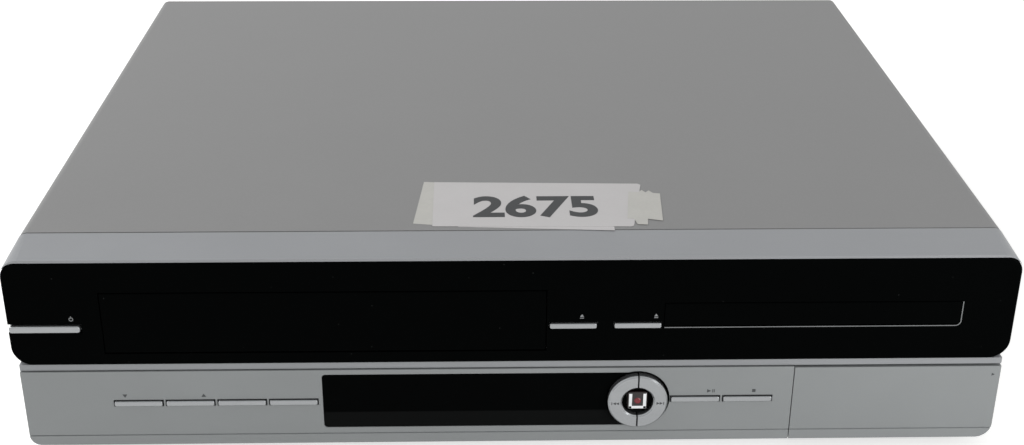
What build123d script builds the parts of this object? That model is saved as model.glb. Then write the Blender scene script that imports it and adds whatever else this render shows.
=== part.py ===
from build123d import *
import os
from math import asin, atan2, cos, degrees, hypot, pi, radians, sin, tan

os.makedirs("parts", exist_ok=True)

# A disc recorder and cassette player in one full-width case. Millimetres, +Z up, X across
# the front. Depths run back from the fascia's face and heights run up from the underside
# of the case; the origin lies between the feet, under the middle of the outer box.

# ------------------------------------------------------------------ fits
gap = 0.35                # between pieces that move past each other
snug = 0.2                # round fixed mouldings set into each other
running = 0.05            # radial, of a pin in its bore

# ------------------------------------------------------------------ case
case_depth = 357.5        # fascia face to the back edge of the cover
case_height = 94.3        # underside of the case to the top of the cover
cover_width = 430.0
cover_sheet = 0.8
cover_bend = 4.5          # outside radius along the cover's long edges
cover_lift = 1.5          # cover's lower edges above the underside
cover_lap = 10.0          # cover's rear edge turned down over the rear panel
pan_sheet = 1.0
pan_flange = 16.0         # pan's sides turned up inside the cover
rear_sheet = 1.0
screw_radius = 1.5
screw_head = 3.2
louvre_length = 16.0
louvre_width = 2.4
louvre_pitch = 7.0
louvre_count = 14
louvre_height = 62.0
foot_height = 6.0
foot_radius = 17.0
foot_inset = 45.0         # foot centres from the cover's side and from its front
socket_reach = 8.5        # rear sockets stand out of the cover's back edge

# ------------------------------------------------------------------ fascia
fascia_overhang = 2.5     # fascia beyond the cover on each side
lower_overhang = 0.3      # silver panel under the gloss panel, the same way
fascia_width = cover_width + 2 * fascia_overhang
lower_width = cover_width + 2 * lower_overhang
cap_depth = 22.5          # silver cap, from the face to the cover
cap_drop = 2.1            # cap's front lip under the top of the cover
cap_corner = 8.0
lip_height = 1.4          # lip over the gloss panel
moulding = 2.5            # wall of the fascia mouldings
panel_thick = 3.0
panel_proud = 0.8         # gloss panel in front of the band under it
gloss_low = 41.2
gloss_top_corner = 7.0
gloss_low_corner = 9.0
band_low = 38.1
seam = 0.4                # visible line between fixed panels
lower_corner = 5.0
crease_height = 4.9       # line over the strip along the bottom
crease_depth = 0.5

# ------------------------------------------------------------------ cassette door
cassette_width = 187.0
cassette_depth = 103.0
cassette_height = 25.0
door_x = -81.85
door_width = 190.3
door_low = 47.2
door_height = 29.0
door_thick = 2.4
door_gap = 0.5
door_pivot_depth = 5.2
door_pivot_rise = 3.2     # pivot over the door's top edge
door_pin = 1.5
door_arm = 2.7

# ------------------------------------------------------------------ disc tray door
door_to_tray = 115.85     # from the door's right edge to the tray's middle
tray_x = door_x + door_width / 2 + door_to_tray
bezel_width = 128.7
bezel_low = 58.5
bezel_height = 11.3
bezel_thick = 3.4

# ------------------------------------------------------------------ keys and ring
key_travel = 0.6
key_gap = 0.45
key_proud = 1.0
key_thick = 2.5           # height of a bar key
key_row = 21.6            # height of the lower keys and the ring
upper_key_row = 59.3
left_key_first = -165.4
left_key_pitch = 22.68
left_key_length = 21.0
play_key_x = 80.2
stop_key_x = 103.5
right_key_length = 21.6
door_to_eject = 11.9      # from the door's right edge to the middles of its two keys
door_to_open = 39.9
eject_key_x = door_x + door_width / 2 + door_to_eject
open_key_x = door_x + door_width / 2 + door_to_open
upper_key_length = 20.4
standby_inset = 0.7       # standby key's end from the gloss panel's edge
standby_to_door = 9.5
standby_left = standby_inset - fascia_width / 2
standby_right = door_x - door_width / 2 - standby_to_door
standby_height = 3.2
stem_width = 4.0
board_depth = 14.0        # face of the key boards behind the fascia's face
board_thick = 1.6
switch_size = 6.0
switch_body = 3.5
switch_plunger = 0.8
ring_x = 54.5
ring_radius = 13.2
ring_bore = 7.0
ring_hole = 14.2
ring_reach = 3.0          # ring stands out of the lower panel
ring_back = 0.9
ring_split = 0.7
ring_floor = 1.8          # floor of the window moulding under the ring
record_size = 9.0
record_reach = 1.4

# ------------------------------------------------------------------ display
window_left = -84.4
window_low = 8.3
window_high = 35.2
window_corner = 1.6
window_inset = 0.1

# ------------------------------------------------------------------ front flap and sockets
flap_left = 123.7
flap_thick = 2.8
flap_corner = 7.0
flap_top_gap = 0.9
flap_pivot_depth = 6.0
flap_pivot_height = 4.5
flap_pin = 1.2
flap_ear = 2.5
recess_depth = 19.0       # face of the socket plate behind the flap
recess_low = 11.0
recess_high = 35.0
recess_wall = 1.5

# ------------------------------------------------------------------ derived levels
lower_top = band_low - seam
cap_front = case_height - cap_drop
gloss_high = cap_front - lip_height
door_high = door_low + door_height
bezel_high = bezel_low + bezel_height
wall_back = panel_thick + moulding
flap_right = lower_width / 2
flap_high = lower_top - flap_top_gap + seam
overall_depth = ring_reach + case_depth + socket_reach
front = -overall_depth / 2 + ring_reach
base = foot_height
inner_width = cover_width - 2 * cover_sheet
roof = case_height - cover_sheet
rear_face = case_depth - cover_sheet
pan_back = rear_face - rear_sheet


# ------------------------------------------------------------------ placing
def upright(depth):
    """Plane facing forwards: sketched x by height, extruded towards the viewer."""
    return Plane(origin=(0, front + depth, base), x_dir=(1, 0, 0), z_dir=(0, -1, 0))


def level(height):
    """Horizontal plane: sketched x by depth, extruded upwards."""
    return Plane(origin=(0, front, base + height), x_dir=(1, 0, 0), z_dir=(0, 0, 1))


def across(x):
    """Plane facing right: sketched depth by height, extruded towards +X."""
    return Plane(origin=(x, front, base), x_dir=(0, 1, 0), z_dir=(1, 0, 0))


def patch(corner, opposite, mode=Mode.ADD):
    """A rectangle between two opposite corners, in the sketch being drawn."""
    middle = ((corner[0] + opposite[0]) / 2, (corner[1] + opposite[1]) / 2)
    with Locations(middle):
        Rectangle(abs(opposite[0] - corner[0]), abs(opposite[1] - corner[1]), mode=mode)


def block(x, depth, height, mode=Mode.ADD):
    """A square-cornered solid between two x values, two depths and two heights."""
    with BuildSketch(level(height[0])) as outline:
        patch((x[0], depth[0]), (x[1], depth[1]))
    extrude(outline.sketch, amount=height[1] - height[0], mode=mode)


def post(x, depth, height, radius, mode=Mode.ADD):
    """A vertical cylinder between two heights."""
    with BuildSketch(level(height[0])) as outline:
        with Locations((x, depth)):
            Circle(radius)
    extrude(outline.sketch, amount=height[1] - height[0], mode=mode)


def spigot(x, height, depth, radius, mode=Mode.ADD):
    """A cylinder that runs back, between two depths."""
    with BuildSketch(upright(depth[1])) as outline:
        with Locations((x, height)):
            Circle(radius)
    extrude(outline.sketch, amount=depth[1] - depth[0], mode=mode)


def axle(depth, height, x, radius, mode=Mode.ADD):
    """A cylinder that runs across, between two x values."""
    with BuildSketch(across(x[0])) as outline:
        with Locations((depth, height)):
            Circle(radius)
    extrude(outline.sketch, amount=x[1] - x[0], mode=mode)


def round_panel(corner, opposite, top_radius, low_radius, mode=Mode.ADD):
    """A rectangle whose upper and lower corners have their own radii."""
    with BuildSketch(Plane.XY) as outline:
        patch(corner, opposite)
        fillet(outline.vertices().group_by(Axis.Y)[-1], top_radius)
        fillet(outline.vertices().group_by(Axis.Y)[0], low_radius)
    add(outline.sketch, mode=mode)


def both_sides(inner, outer):
    """The two spans between an inner and an outer half-width, left and right."""
    return [(-outer, -inner), (inner, outer)]


def hand_over(piece, name):
    """Labels a finished piece and writes it under its name."""
    piece.part.label = name
    export_step(piece.part, f"parts/{name}.step")


# ------------------------------------------------------------------ chassis pan
pan_half = inner_width / 2
pan_front = cap_depth
boards_height = 8.0       # underside of the circuit boards over the case's underside
screw_low = 11.0          # side screws over the case's underside
screw_depths = (pan_front + 40, rear_face - 40)
board_margin = 6.2        # boards inside the pan's sides
board_rear = pan_back - 2.7
rear_board_front = 285.0
power_board_front = 272.0
post_margin = 14.2        # outer posts inside the pan's sides
board_posts = [
    (tray_x - 57.15, 66),
    (tray_x + 56.85, 66),
    (tray_x - 57.15, 270),
    (tray_x + 56.85, 270),
    (-20, rear_board_front + 7),
    (20, board_rear - 8),
    (pan_half - post_margin, rear_board_front + 7),
    (post_margin - pan_half, power_board_front + 8),
    (-68, power_board_front + 8),
]
foot_places = [
    (side * (cover_width / 2 - foot_inset), depth)
    for side in (-1, 1)
    for depth in (pan_front + foot_inset - 15, rear_face - foot_inset)
]

with BuildPart() as chassis_pan:
    with BuildSketch(level(0)):
        patch((-pan_half, pan_front), (pan_half, pan_back))
    extrude(amount=pan_sheet)
    for span in both_sides(pan_half - pan_sheet, pan_half):
        block(span, (pan_front, pan_back), (pan_sheet, pan_flange))
    block((-pan_half, pan_half), (pan_back - pan_sheet, pan_back), (pan_sheet, boards_height))
    # posts that carry the circuit boards
    for x, depth in board_posts:
        post(x, depth, (pan_sheet, boards_height), 3)
    # cooling slots under the drive and under the power board
    with BuildSketch(level(0)):
        with Locations((tray_x, pan_front + 90), (-120, pan_back - 60)):
            with GridLocations(12, 30, 7, 2):
                Rectangle(3, 24)
    extrude(amount=pan_sheet, mode=Mode.SUBTRACT)
    for span in both_sides(pan_half - pan_sheet, pan_half):
        for depth in screw_depths:
            axle(depth, screw_low, span, screw_radius + snug, Mode.SUBTRACT)
hand_over(chassis_pan, "chassis_pan")

# ------------------------------------------------------------------ top cover
cover_front = cap_depth + seam
cover_length = case_depth - cover_front
rear_screw_xs = (-cover_width * 0.4, 0, cover_width * 0.4)
rear_screw_height = case_height - cover_lap / 2

with BuildPart() as top_cover:
    with BuildSketch(upright(cover_front)):
        round_panel(
            (-cover_width / 2, cover_lift - cover_bend),
            (cover_width / 2, case_height),
            cover_bend,
            1,
        )
    extrude(amount=-cover_length)
    with BuildSketch(upright(cover_front)):
        round_panel(
            (-inner_width / 2, cover_lift - 2 * cover_bend),
            (inner_width / 2, roof),
            cover_bend - cover_sheet,
            1,
        )
    extrude(amount=-cover_length, mode=Mode.SUBTRACT)
    # the rear edge turned down over the rear panel
    with BuildSketch(upright(case_depth)):
        round_panel(
            (-inner_width / 2 - cover_sheet / 2, case_height - cover_lap),
            (inner_width / 2 + cover_sheet / 2, case_height - cover_sheet / 2),
            cover_bend - cover_sheet / 2,
            1.5,
        )
    extrude(amount=cover_sheet)
    # lower edges trimmed level
    block((-cover_width, cover_width), (0, case_depth + 1), (-case_height, cover_lift), Mode.SUBTRACT)
    # louvres in both sides, towards the back
    with BuildSketch(across(-cover_width / 2 - 1)):
        with Locations((case_depth - 35 - louvre_count * louvre_pitch / 2, louvre_height)):
            with GridLocations(louvre_pitch, 1, louvre_count, 1):
                Rectangle(louvre_width, louvre_length)
    extrude(amount=cover_width + 2, mode=Mode.SUBTRACT)
    for depth in screw_depths:
        axle(
            depth,
            screw_low,
            (-cover_width / 2 - 1, cover_width / 2 + 1),
            screw_radius + snug,
            Mode.SUBTRACT,
        )
    for x in rear_screw_xs:
        spigot(x, rear_screw_height, (rear_face, case_depth), screw_radius + snug, Mode.SUBTRACT)
hand_over(top_cover, "top_cover")

# ------------------------------------------------------------------ feet
with BuildPart() as feet:
    for x, depth in foot_places:
        with BuildSketch(level(0)) as foot_top:
            with Locations((x, depth)):
                Circle(foot_radius)
        extrude(foot_top.sketch, amount=-foot_height, taper=14)
hand_over(feet, "feet")


# ------------------------------------------------------------------ cover screws
def screw_at(plane, length):
    """A pan-head screw in the plane's origin, its head outside."""
    with BuildSketch(plane) as shank:
        Circle(screw_radius)
    extrude(shank.sketch, amount=-length)
    with BuildSketch(plane) as head:
        Circle(screw_head)
    extrude(head.sketch, amount=screw_radius, taper=25)


with BuildPart() as case_screws:
    for side in (-1, 1):
        for depth in screw_depths:
            side_hole = (side * cover_width / 2, front + depth, base + screw_low)
            screw_at(Plane(origin=side_hole, z_dir=(side, 0, 0)), cover_sheet + pan_sheet + 4)
    for x in rear_screw_xs:
        rear_hole = (x, front + case_depth, base + rear_screw_height)
        screw_at(Plane(origin=rear_hole, z_dir=(0, 1, 0)), cover_sheet + rear_sheet + 4)
hand_over(case_screws, "case_screws")

# ------------------------------------------------------------------ rear panel
rear_half = pan_half - 0.2
rear_low = cover_lift - 0.3
fan_x = -112.0
fan_height = 50.0
fan_size = 60.0
fan_thick = 15.0
grille_slots = 9
inlet_x = 28.2 - pan_half
inlet_height = 24.0
inlet_width = 17.0
inlet_tall = 9.0
inlet_depth = 12.0
aerial_x = -34.0
aerial_heights = (26.0, 50.0)
aerial_radius = 4.75
scart_x = 66.0
scart_heights = (27.0, 52.0)
scart_width = 47.0
scart_tall = 13.0
phono_x = pan_half - 72.2
phono_height = 39.0
phono_pitch = 14.0
phono_rise = 15.0
phono_columns = 4
phono_rows = 3
phono_radius = 4.15
phono_body = 5.4
s_video_x = pan_half - 26.2
s_video_height = 27.0
s_video_radius = 6.0
vent_x = phono_x - 20
board_top = boards_height + board_thick
socket_front = pan_back - 18
socket_end = case_depth + socket_reach
phono_places = [
    (
        phono_x + (column - (phono_columns - 1) / 2) * phono_pitch,
        phono_height + (row - (phono_rows - 1) / 2) * phono_rise,
    )
    for column in range(phono_columns)
    for row in range(phono_rows)
]

with BuildPart() as rear_panel:
    with BuildSketch(upright(rear_face)):
        round_panel((-rear_half, rear_low), (rear_half, roof - snug), cover_bend, 0.5)
        # grille over the fan, slots shortened to stay in its circle
        for slot in range(grille_slots):
            rise = (slot - (grille_slots - 1) / 2) * fan_size * 0.095
            reach = ((fan_size * 0.45) ** 2 - rise**2) ** 0.5
            with Locations((fan_x, fan_height + rise)):
                Rectangle(2 * reach, fan_size * 0.055, mode=Mode.SUBTRACT)
        with Locations((inlet_x, inlet_height)):
            Rectangle(inlet_width + 2, inlet_tall + 2, mode=Mode.SUBTRACT)
        for height in aerial_heights:
            with Locations((aerial_x, height)):
                Circle(aerial_radius + 0.5, mode=Mode.SUBTRACT)
        for height in scart_heights:
            with Locations((scart_x, height)):
                Rectangle(scart_width + 0.6, scart_tall + 0.6, mode=Mode.SUBTRACT)
        with Locations(*phono_places):
            Circle(phono_body + 0.3, mode=Mode.SUBTRACT)
        with Locations((s_video_x, s_video_height)):
            Circle(s_video_radius + 0.3, mode=Mode.SUBTRACT)
        with Locations((vent_x, roof - 17)):
            with GridLocations(7, 1, 16, 1):
                Rectangle(3, 10, mode=Mode.SUBTRACT)
    extrude(amount=rear_sheet)
    for x in rear_screw_xs:
        spigot(x, rear_screw_height, (pan_back, rear_face), screw_radius + snug, Mode.SUBTRACT)
hand_over(rear_panel, "rear_panel")

# bodies of the mains inlet, the two wide sockets, the phono block and the round socket
with BuildPart() as rear_sockets:
    inlet_half = inlet_width / 2 + 0.8
    inlet_rise = inlet_tall / 2 + 0.8
    block(
        (inlet_x - inlet_half, inlet_x + inlet_half),
        (pan_back - 14, rear_face + 0.6),
        (inlet_height - inlet_rise, inlet_height + inlet_rise),
    )
    block(
        (inlet_x - inlet_width / 2, inlet_x + inlet_width / 2),
        (rear_face + 0.6 - inlet_depth, rear_face + 1),
        (inlet_height - inlet_tall / 2, inlet_height + inlet_tall / 2),
        Mode.SUBTRACT,
    )
    for x in (inlet_x - 4, inlet_x + 4):
        spigot(x, inlet_height, (rear_face + 0.6 - inlet_depth, rear_face - 1), 1.15)
    block(
        (inlet_x - inlet_half, inlet_x + inlet_half),
        (pan_back - 14, pan_back - 2),
        (board_top, inlet_height - inlet_rise),
    )
    for height in scart_heights:
        block(
            (scart_x - scart_width / 2, scart_x + scart_width / 2),
            (socket_front, rear_face + 2),
            (height - scart_tall / 2, height + scart_tall / 2),
        )
        with BuildSketch(upright(rear_face + 2)) as mouth:
            with Locations((scart_x, height)):
                Rectangle(scart_width - 4, scart_tall - 3)
            chamfer(mouth.vertices().sort_by(Axis.X)[-2:].sort_by(Axis.Y)[-1], 5)
        extrude(mouth.sketch, amount=9, mode=Mode.SUBTRACT)
        block(
            (scart_x - scart_width / 2 + 6, scart_x + scart_width / 2 - 6),
            (rear_face - 7, rear_face + 1),
            (height - 1, height + 1),
        )
    block(
        (scart_x - scart_width / 2, scart_x + scart_width / 2),
        (socket_front, pan_back - 4),
        (board_top, scart_heights[1]),
    )
    phono_half = phono_pitch * phono_columns / 2
    block(
        (phono_x - phono_half, phono_x + phono_half),
        (socket_front, pan_back - 0.2),
        (board_top, phono_height + phono_rise * phono_rows / 2),
    )
    with BuildSketch(upright(rear_face)) as collars:
        with Locations(*phono_places):
            Circle(phono_body)
            Circle(phono_radius + 0.05, mode=Mode.SUBTRACT)
    extrude(collars.sketch, amount=-0.4)
    extrude(collars.sketch, amount=rear_sheet + 0.2)
    spigot(s_video_x, s_video_height, (pan_back - 0.2, rear_face + 0.6), s_video_radius)
    block(
        (s_video_x - 7, s_video_x + 7),
        (socket_front, pan_back - 0.2),
        (board_top, s_video_height + 7),
    )
    spigot(s_video_x, s_video_height, (rear_face - 5, rear_face + 1), 4.4, Mode.SUBTRACT)
    block(
        (s_video_x - 1.2, s_video_x + 1.2),
        (rear_face - 6, rear_face - 0.5),
        (s_video_height - 3, s_video_height - 1.4),
    )
hand_over(rear_sockets, "rear_sockets")

# turned metal parts: tuner can with two coaxial connectors, and the phono shells
with BuildPart() as aerial_sockets:
    block((aerial_x - 11, aerial_x + 11), (rear_board_front + 10.7, pan_back - 0.2), (board_top, 60))
    for height in aerial_heights:
        spigot(aerial_x, height, (pan_back - 0.2, socket_end), aerial_radius)
        spigot(aerial_x, height, (case_depth - 2, socket_end + 1), aerial_radius - 0.7, Mode.SUBTRACT)
    spigot(aerial_x, aerial_heights[1], (case_depth - 2, socket_end - 0.5), 1.2)
    with BuildSketch(upright(socket_end)) as shells:
        with Locations(*phono_places):
            Circle(phono_radius)
            Circle(1.6, mode=Mode.SUBTRACT)
    extrude(shells.sketch, amount=socket_end - pan_back + 0.2)
hand_over(aerial_sockets, "aerial_sockets")

# ------------------------------------------------------------------ gloss panel
gloss_half = fascia_width / 2
door_middle = door_low + door_height / 2
bezel_middle = bezel_low + bezel_height / 2
key_half = key_thick / 2
standby_low = upper_key_row - standby_height / 2
standby_high = upper_key_row + standby_height / 2


def key_slot(x, height, length):
    """Opening for a bar key, in the sketch being drawn."""
    with Locations((x, height)):
        Rectangle(length + 2 * key_gap, key_thick + 2 * key_gap, mode=Mode.SUBTRACT)


with BuildPart() as gloss_panel:
    with BuildSketch(upright(panel_thick)):
        round_panel(
            (-gloss_half, gloss_low),
            (gloss_half, gloss_high),
            gloss_top_corner,
            gloss_low_corner,
        )
        with Locations((door_x, door_middle)):
            Rectangle(door_width + 2 * door_gap, door_height + 2 * door_gap, mode=Mode.SUBTRACT)
        with Locations((tray_x, bezel_middle)):
            Rectangle(bezel_width + 2 * gap, bezel_height + 2 * gap, mode=Mode.SUBTRACT)
        key_slot(eject_key_x, upper_key_row, upper_key_length)
        key_slot(open_key_x, upper_key_row, upper_key_length)
        patch(
            (-gloss_half - 1, standby_low - key_gap),
            (standby_right + key_gap, standby_high + key_gap),
            Mode.SUBTRACT,
        )
    extrude(amount=panel_thick)
    gloss_rim = gloss_panel.faces().sort_by(Axis.Y)[0].outer_wire().edges()
    fillet(gloss_rim, 0.8)
hand_over(gloss_panel, "gloss_panel")

# ------------------------------------------------------------------ lower panel
lower_half = lower_width / 2
lower_right = flap_left - seam
left_keys = [left_key_first + left_key_pitch * place for place in range(4)]
right_keys = [play_key_x, stop_key_x]


def window_outline(grow):
    """Outline of the display window and the ring's disc, in the sketch being drawn."""
    with BuildSketch(Plane.XY) as outline:
        patch((window_left - grow, window_low - grow), (ring_x, window_high + grow))
        fillet(outline.vertices().group_by(Axis.X)[0], window_corner)
        with Locations((ring_x, key_row)):
            Circle(ring_hole + grow)
    add(outline.sketch)


with BuildPart() as lower_panel:
    with BuildSketch(upright(panel_thick)):
        patch((-lower_half, 0), (lower_right, lower_top))
        fillet(vertices().group_by(Axis.Y)[0].sort_by(Axis.X)[0], lower_corner)
    extrude(amount=panel_thick)
    with BuildSketch(upright(panel_thick)):
        window_outline(snug)
    extrude(amount=panel_thick + 1, mode=Mode.SUBTRACT)
    with BuildSketch(upright(panel_thick)):
        for x in left_keys:
            with Locations((x, key_row)):
                Rectangle(left_key_length + 2 * key_gap, key_thick + 2 * key_gap)
        for x in right_keys:
            with Locations((x, key_row)):
                Rectangle(right_key_length + 2 * key_gap, key_thick + 2 * key_gap)
    extrude(amount=panel_thick + 1, mode=Mode.SUBTRACT)
    # the line along the bottom
    with BuildSketch(across(-lower_half - 1)):
        with BuildLine():
            Polyline(
                (-1, crease_height - 2 * crease_depth),
                (crease_depth, crease_height),
                (-1, crease_height + 2 * crease_depth),
                close=True,
            )
        make_face()
    extrude(amount=lower_width, mode=Mode.SUBTRACT)
hand_over(lower_panel, "lower_panel")

# ------------------------------------------------------------------ fascia frame
hollow_half = lower_half - 0.3 - moulding
hollow_low = 2.6
hollow_high = gloss_high - 0.7
key_board_low = 4.0
key_board_high = 36.0
boss_radius = 2.5
lug_front = 2.0           # door lugs reach into the gloss panel's plane
door_lug = 3.0
door_pin_reach = 3.35
door_pin_end = door_width / 2 - 0.3 + door_pin_reach
flap_swing = hypot(flap_pivot_depth, flap_pivot_height) + gap
flap_lug_left = flap_left - seam - 3
recess_left = flap_left + 5.8
recess_right = flap_right - 5.8
ear_left = flap_left + 0.5
ear_right = hollow_half - 0.3
ears = ((ear_left, ear_left + flap_ear), (ear_right - flap_ear, ear_right))
stem_depth = 2.5
stem_hole = 0.3
ring_stem_offset = 10.0
low_boards = [(-185.0, 30.5), (-95.0, 30.5), (100.0, 30.5), (-185.0, 8.0), (100.0, 8.0)]
high_boards = [(-208.0, 65.6), (-188.0, 65.6), (20.0, 65.6), (40.0, 65.6)]
recess_outer = (
    (recess_left - recess_wall, recess_low - recess_wall),
    (recess_right + recess_wall, recess_high + recess_wall),
)
bar_keys = (
    [(x, key_row) for x in left_keys]
    + [(x, key_row) for x in right_keys]
    + [(eject_key_x, upper_key_row), (open_key_x, upper_key_row)]
)
standby_stems = (standby_left + 8, standby_right - 6)

with BuildPart() as fascia_frame:
    # cap and upper housing, drawn in to the cover's width at the back
    with BuildSketch(upright(0)):
        round_panel(
            (-gloss_half, gloss_low + snug),
            (gloss_half, cap_front),
            cap_corner,
            gloss_low_corner,
        )
    with BuildSketch(upright(cap_depth)):
        round_panel(
            (-(cover_width + 0.6) / 2, gloss_low + snug),
            ((cover_width + 0.6) / 2, case_height - 0.2),
            cover_bend,
            gloss_low_corner,
        )
    loft()
    # lower housing, behind the lower panel and the flap
    with BuildSketch(upright(cap_depth)):
        round_panel(
            (-(lower_half - 0.3), 0.3),
            (lower_half - 0.3, gloss_low + 12),
            1,
            lower_corner,
        )
    extrude(amount=cap_depth - panel_thick)
    # the band under the gloss panel
    block((-lower_half, lower_half), (panel_proud, wall_back), (band_low, gloss_low - 0.15))
    # hollow from behind
    with BuildSketch(upright(cap_depth)):
        round_panel(
            (-hollow_half, hollow_low),
            (hollow_half, hollow_high),
            cap_corner - moulding,
            lower_corner - moulding,
        )
    extrude(amount=cap_depth - wall_back, mode=Mode.SUBTRACT)
    # seat of the gloss panel
    with BuildSketch(upright(panel_thick)):
        round_panel(
            (-gloss_half - snug, gloss_low - 0.1),
            (gloss_half + snug, gloss_high + snug),
            gloss_top_corner,
            gloss_low_corner,
        )
    extrude(amount=panel_thick + 1, mode=Mode.SUBTRACT)
    # wall openings: door, tray, display and the recess behind the flap
    block(
        (door_x - door_width / 2 - 0.75, door_x + door_width / 2 + 0.75),
        (0, wall_back + 1),
        (door_low - 0.9, door_high + 9),
        Mode.SUBTRACT,
    )
    block(
        (tray_x - bezel_width / 2 - 0.6, tray_x + bezel_width / 2 + 0.6),
        (0, wall_back + 1),
        (bezel_low - 0.6, bezel_high + 0.6),
        Mode.SUBTRACT,
    )
    block((-80, 38), (panel_thick - 1, wall_back + 1), (14, 34), Mode.SUBTRACT)
    with BuildSketch(upright(wall_back + 1)) as recess_opening:
        patch(*recess_outer)
    extrude(offset(recess_opening.sketch, snug, kind=Kind.INTERSECTION), amount=wall_back, mode=Mode.SUBTRACT)
    block(
        (flap_left - seam, lower_half + 1),
        (panel_thick - 0.1, flap_thick + gap + 0.05),
        (flap_pivot_height, band_low),
        Mode.SUBTRACT,
    )
    # room for the flap's lower edge to swing under, and for its ears
    with BuildSketch(across(flap_left - seam)) as swing:
        with Locations((flap_pivot_depth, flap_pivot_height)):
            Circle(flap_swing)
        patch((-10, flap_pivot_height), (20, 20), Mode.SUBTRACT)
    extrude(swing.sketch, amount=lower_half - flap_left + 2, mode=Mode.SUBTRACT)
    for span in ears:
        axle(flap_pivot_depth, flap_pivot_height, (span[0] - 0.3, span[1] + 0.3), 5.2, Mode.SUBTRACT)
    # pivot lugs of the flap
    block((flap_lug_left, flap_left - seam), (panel_thick, 9.2), (0.3, 8))
    axle(flap_pivot_depth, flap_pivot_height, (hollow_half, hollow_half + moulding - 0.2), 2.7)
    axle(
        flap_pivot_depth,
        flap_pivot_height,
        (flap_lug_left - 1, hollow_half + moulding - 0.5),
        flap_pin + running,
        Mode.SUBTRACT,
    )
    # pivot lugs of the cassette door
    for span in both_sides(door_width / 2 + 0.75, door_width / 2 + 0.75 + door_lug):
        lug = (door_x + span[0], door_x + span[1])
        block(lug, (panel_thick, 8.3), (door_high - 2, door_high + 7))
    axle(
        door_pivot_depth,
        door_high + door_pivot_rise,
        (door_x - door_width / 2 - 0.75 - door_lug - 1, door_x + door_width / 2 + 0.75 + door_lug + 1),
        door_pin + running,
        Mode.SUBTRACT,
    )
    # guide holes of the key stems
    with BuildSketch(upright(wall_back)) as guides:
        with Locations(*bar_keys):
            Rectangle(stem_width + 2 * stem_hole, stem_depth + 2 * stem_hole)
        for x in standby_stems:
            with Locations((x, upper_key_row)):
                Rectangle(stem_width + 2 * stem_hole, stem_depth + 2 * stem_hole)
        for x in (ring_x - ring_stem_offset, ring_x, ring_x + ring_stem_offset):
            with Locations((x, key_row)):
                Rectangle(3 + 2 * stem_hole, 3 + 2 * stem_hole)
    extrude(guides.sketch, amount=wall_back, mode=Mode.SUBTRACT)
    # bosses that carry the boards
    for x, height in low_boards + high_boards:
        spigot(x, height, (wall_back, board_depth), boss_radius)
hand_over(fascia_frame, "fascia_frame")

# ------------------------------------------------------------------ display window
record_hole = 5.6 + 2 * stem_hole
with BuildPart() as display_window:
    with BuildSketch(upright(panel_thick)):
        window_outline(0)
    extrude(amount=panel_thick - window_inset)
    spigot(ring_x, key_row, (-1, ring_floor), ring_hole - snug, Mode.SUBTRACT)
    # collar inside the ring, square bore for the record key
    spigot(ring_x, key_row, (-0.4, ring_floor), ring_bore - 0.4)
    with BuildSketch(upright(panel_thick)):
        with Locations((ring_x, key_row)):
            RectangleRounded(record_size + 0.7, record_size + 0.7, 1.5)
    extrude(amount=panel_thick + 1, mode=Mode.SUBTRACT)
    with BuildSketch(upright(panel_thick)):
        for x in (ring_x - ring_stem_offset, ring_x + ring_stem_offset):
            with Locations((x, key_row)):
                Rectangle(3 + 2 * stem_hole, 3 + 2 * stem_hole)
    extrude(amount=panel_thick, mode=Mode.SUBTRACT)
hand_over(display_window, "display_window")

# ------------------------------------------------------------------ boards behind the fascia
board_back = board_depth + board_thick
switch_front = board_depth - switch_body
with BuildPart() as front_boards:
    block((-205, 118), (board_depth, board_back), (key_board_low, key_board_high))
    block((-212, -183), (board_depth, board_back), (53, 68))
    block((16, 57.8), (board_depth, board_back), (53, 68))
    block((recess_left - 2, recess_right + 1.5), (24, 24 + board_thick), (8, 34))
hand_over(front_boards, "front_boards")

switch_places = bar_keys + [
    ((standby_left + standby_right) / 2 - 1, upper_key_row),
    (ring_x - ring_stem_offset, key_row),
    (ring_x, key_row),
    (ring_x + ring_stem_offset, key_row),
]
with BuildPart() as key_switches:
    with BuildSketch(upright(board_depth)):
        with Locations(*switch_places):
            Rectangle(switch_size, switch_size)
    extrude(amount=switch_body)
    with BuildSketch(upright(switch_front)):
        with Locations(*switch_places):
            Circle(1.7)
    extrude(amount=switch_plunger)
hand_over(key_switches, "key_switches")

with BuildPart() as display_tube:
    block((-75, 0), (6.5, board_depth), (14.5, 31))
    block((-71, -4), (6.0, 6.5), (16.5, 29))
hand_over(display_tube, "display_tube")

# ------------------------------------------------------------------ keys
key_back = panel_thick - key_travel - gap
stem_end = switch_front - switch_plunger - 0.7
flange_front = wall_back + gap
flange_back = flange_front + 1.0


def bar_key(x, height, length):
    """One bar key with its stem, and the flange that stops it behind the wall."""
    with BuildSketch(upright(key_back)) as bar:
        with Locations((x, height)):
            RectangleRounded(length, key_thick, 0.8)
    extrude(bar.sketch, amount=key_back + key_proud)
    fillet(faces().sort_by(Axis.Y)[0].outer_wire().edges(), 0.5)
    half_stem = stem_width / 2
    half_deep = stem_depth / 2
    block(
        (x - half_stem, x + half_stem),
        (key_back, stem_end),
        (height - half_deep, height + half_deep),
    )
    block(
        (x - half_stem - 2, x + half_stem + 2),
        (flange_front, flange_back),
        (height - half_deep - 1.75, height + half_deep + 1.75),
    )


left_names = ("channel_down_button", "channel_up_button", "dubbing_button", "deck_select_button")
bar_names = (
    [(name, x, key_row, left_key_length) for name, x in zip(left_names, left_keys)]
    + [("play_button", play_key_x, key_row, right_key_length)]
    + [("stop_button", stop_key_x, key_row, right_key_length)]
    + [("eject_button", eject_key_x, upper_key_row, upper_key_length)]
    + [("open_close_button", open_key_x, upper_key_row, upper_key_length)]
)
for name, x, height, length in bar_names:
    with BuildPart() as key:
        bar_key(x, height, length)
    hand_over(key, name)

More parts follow.
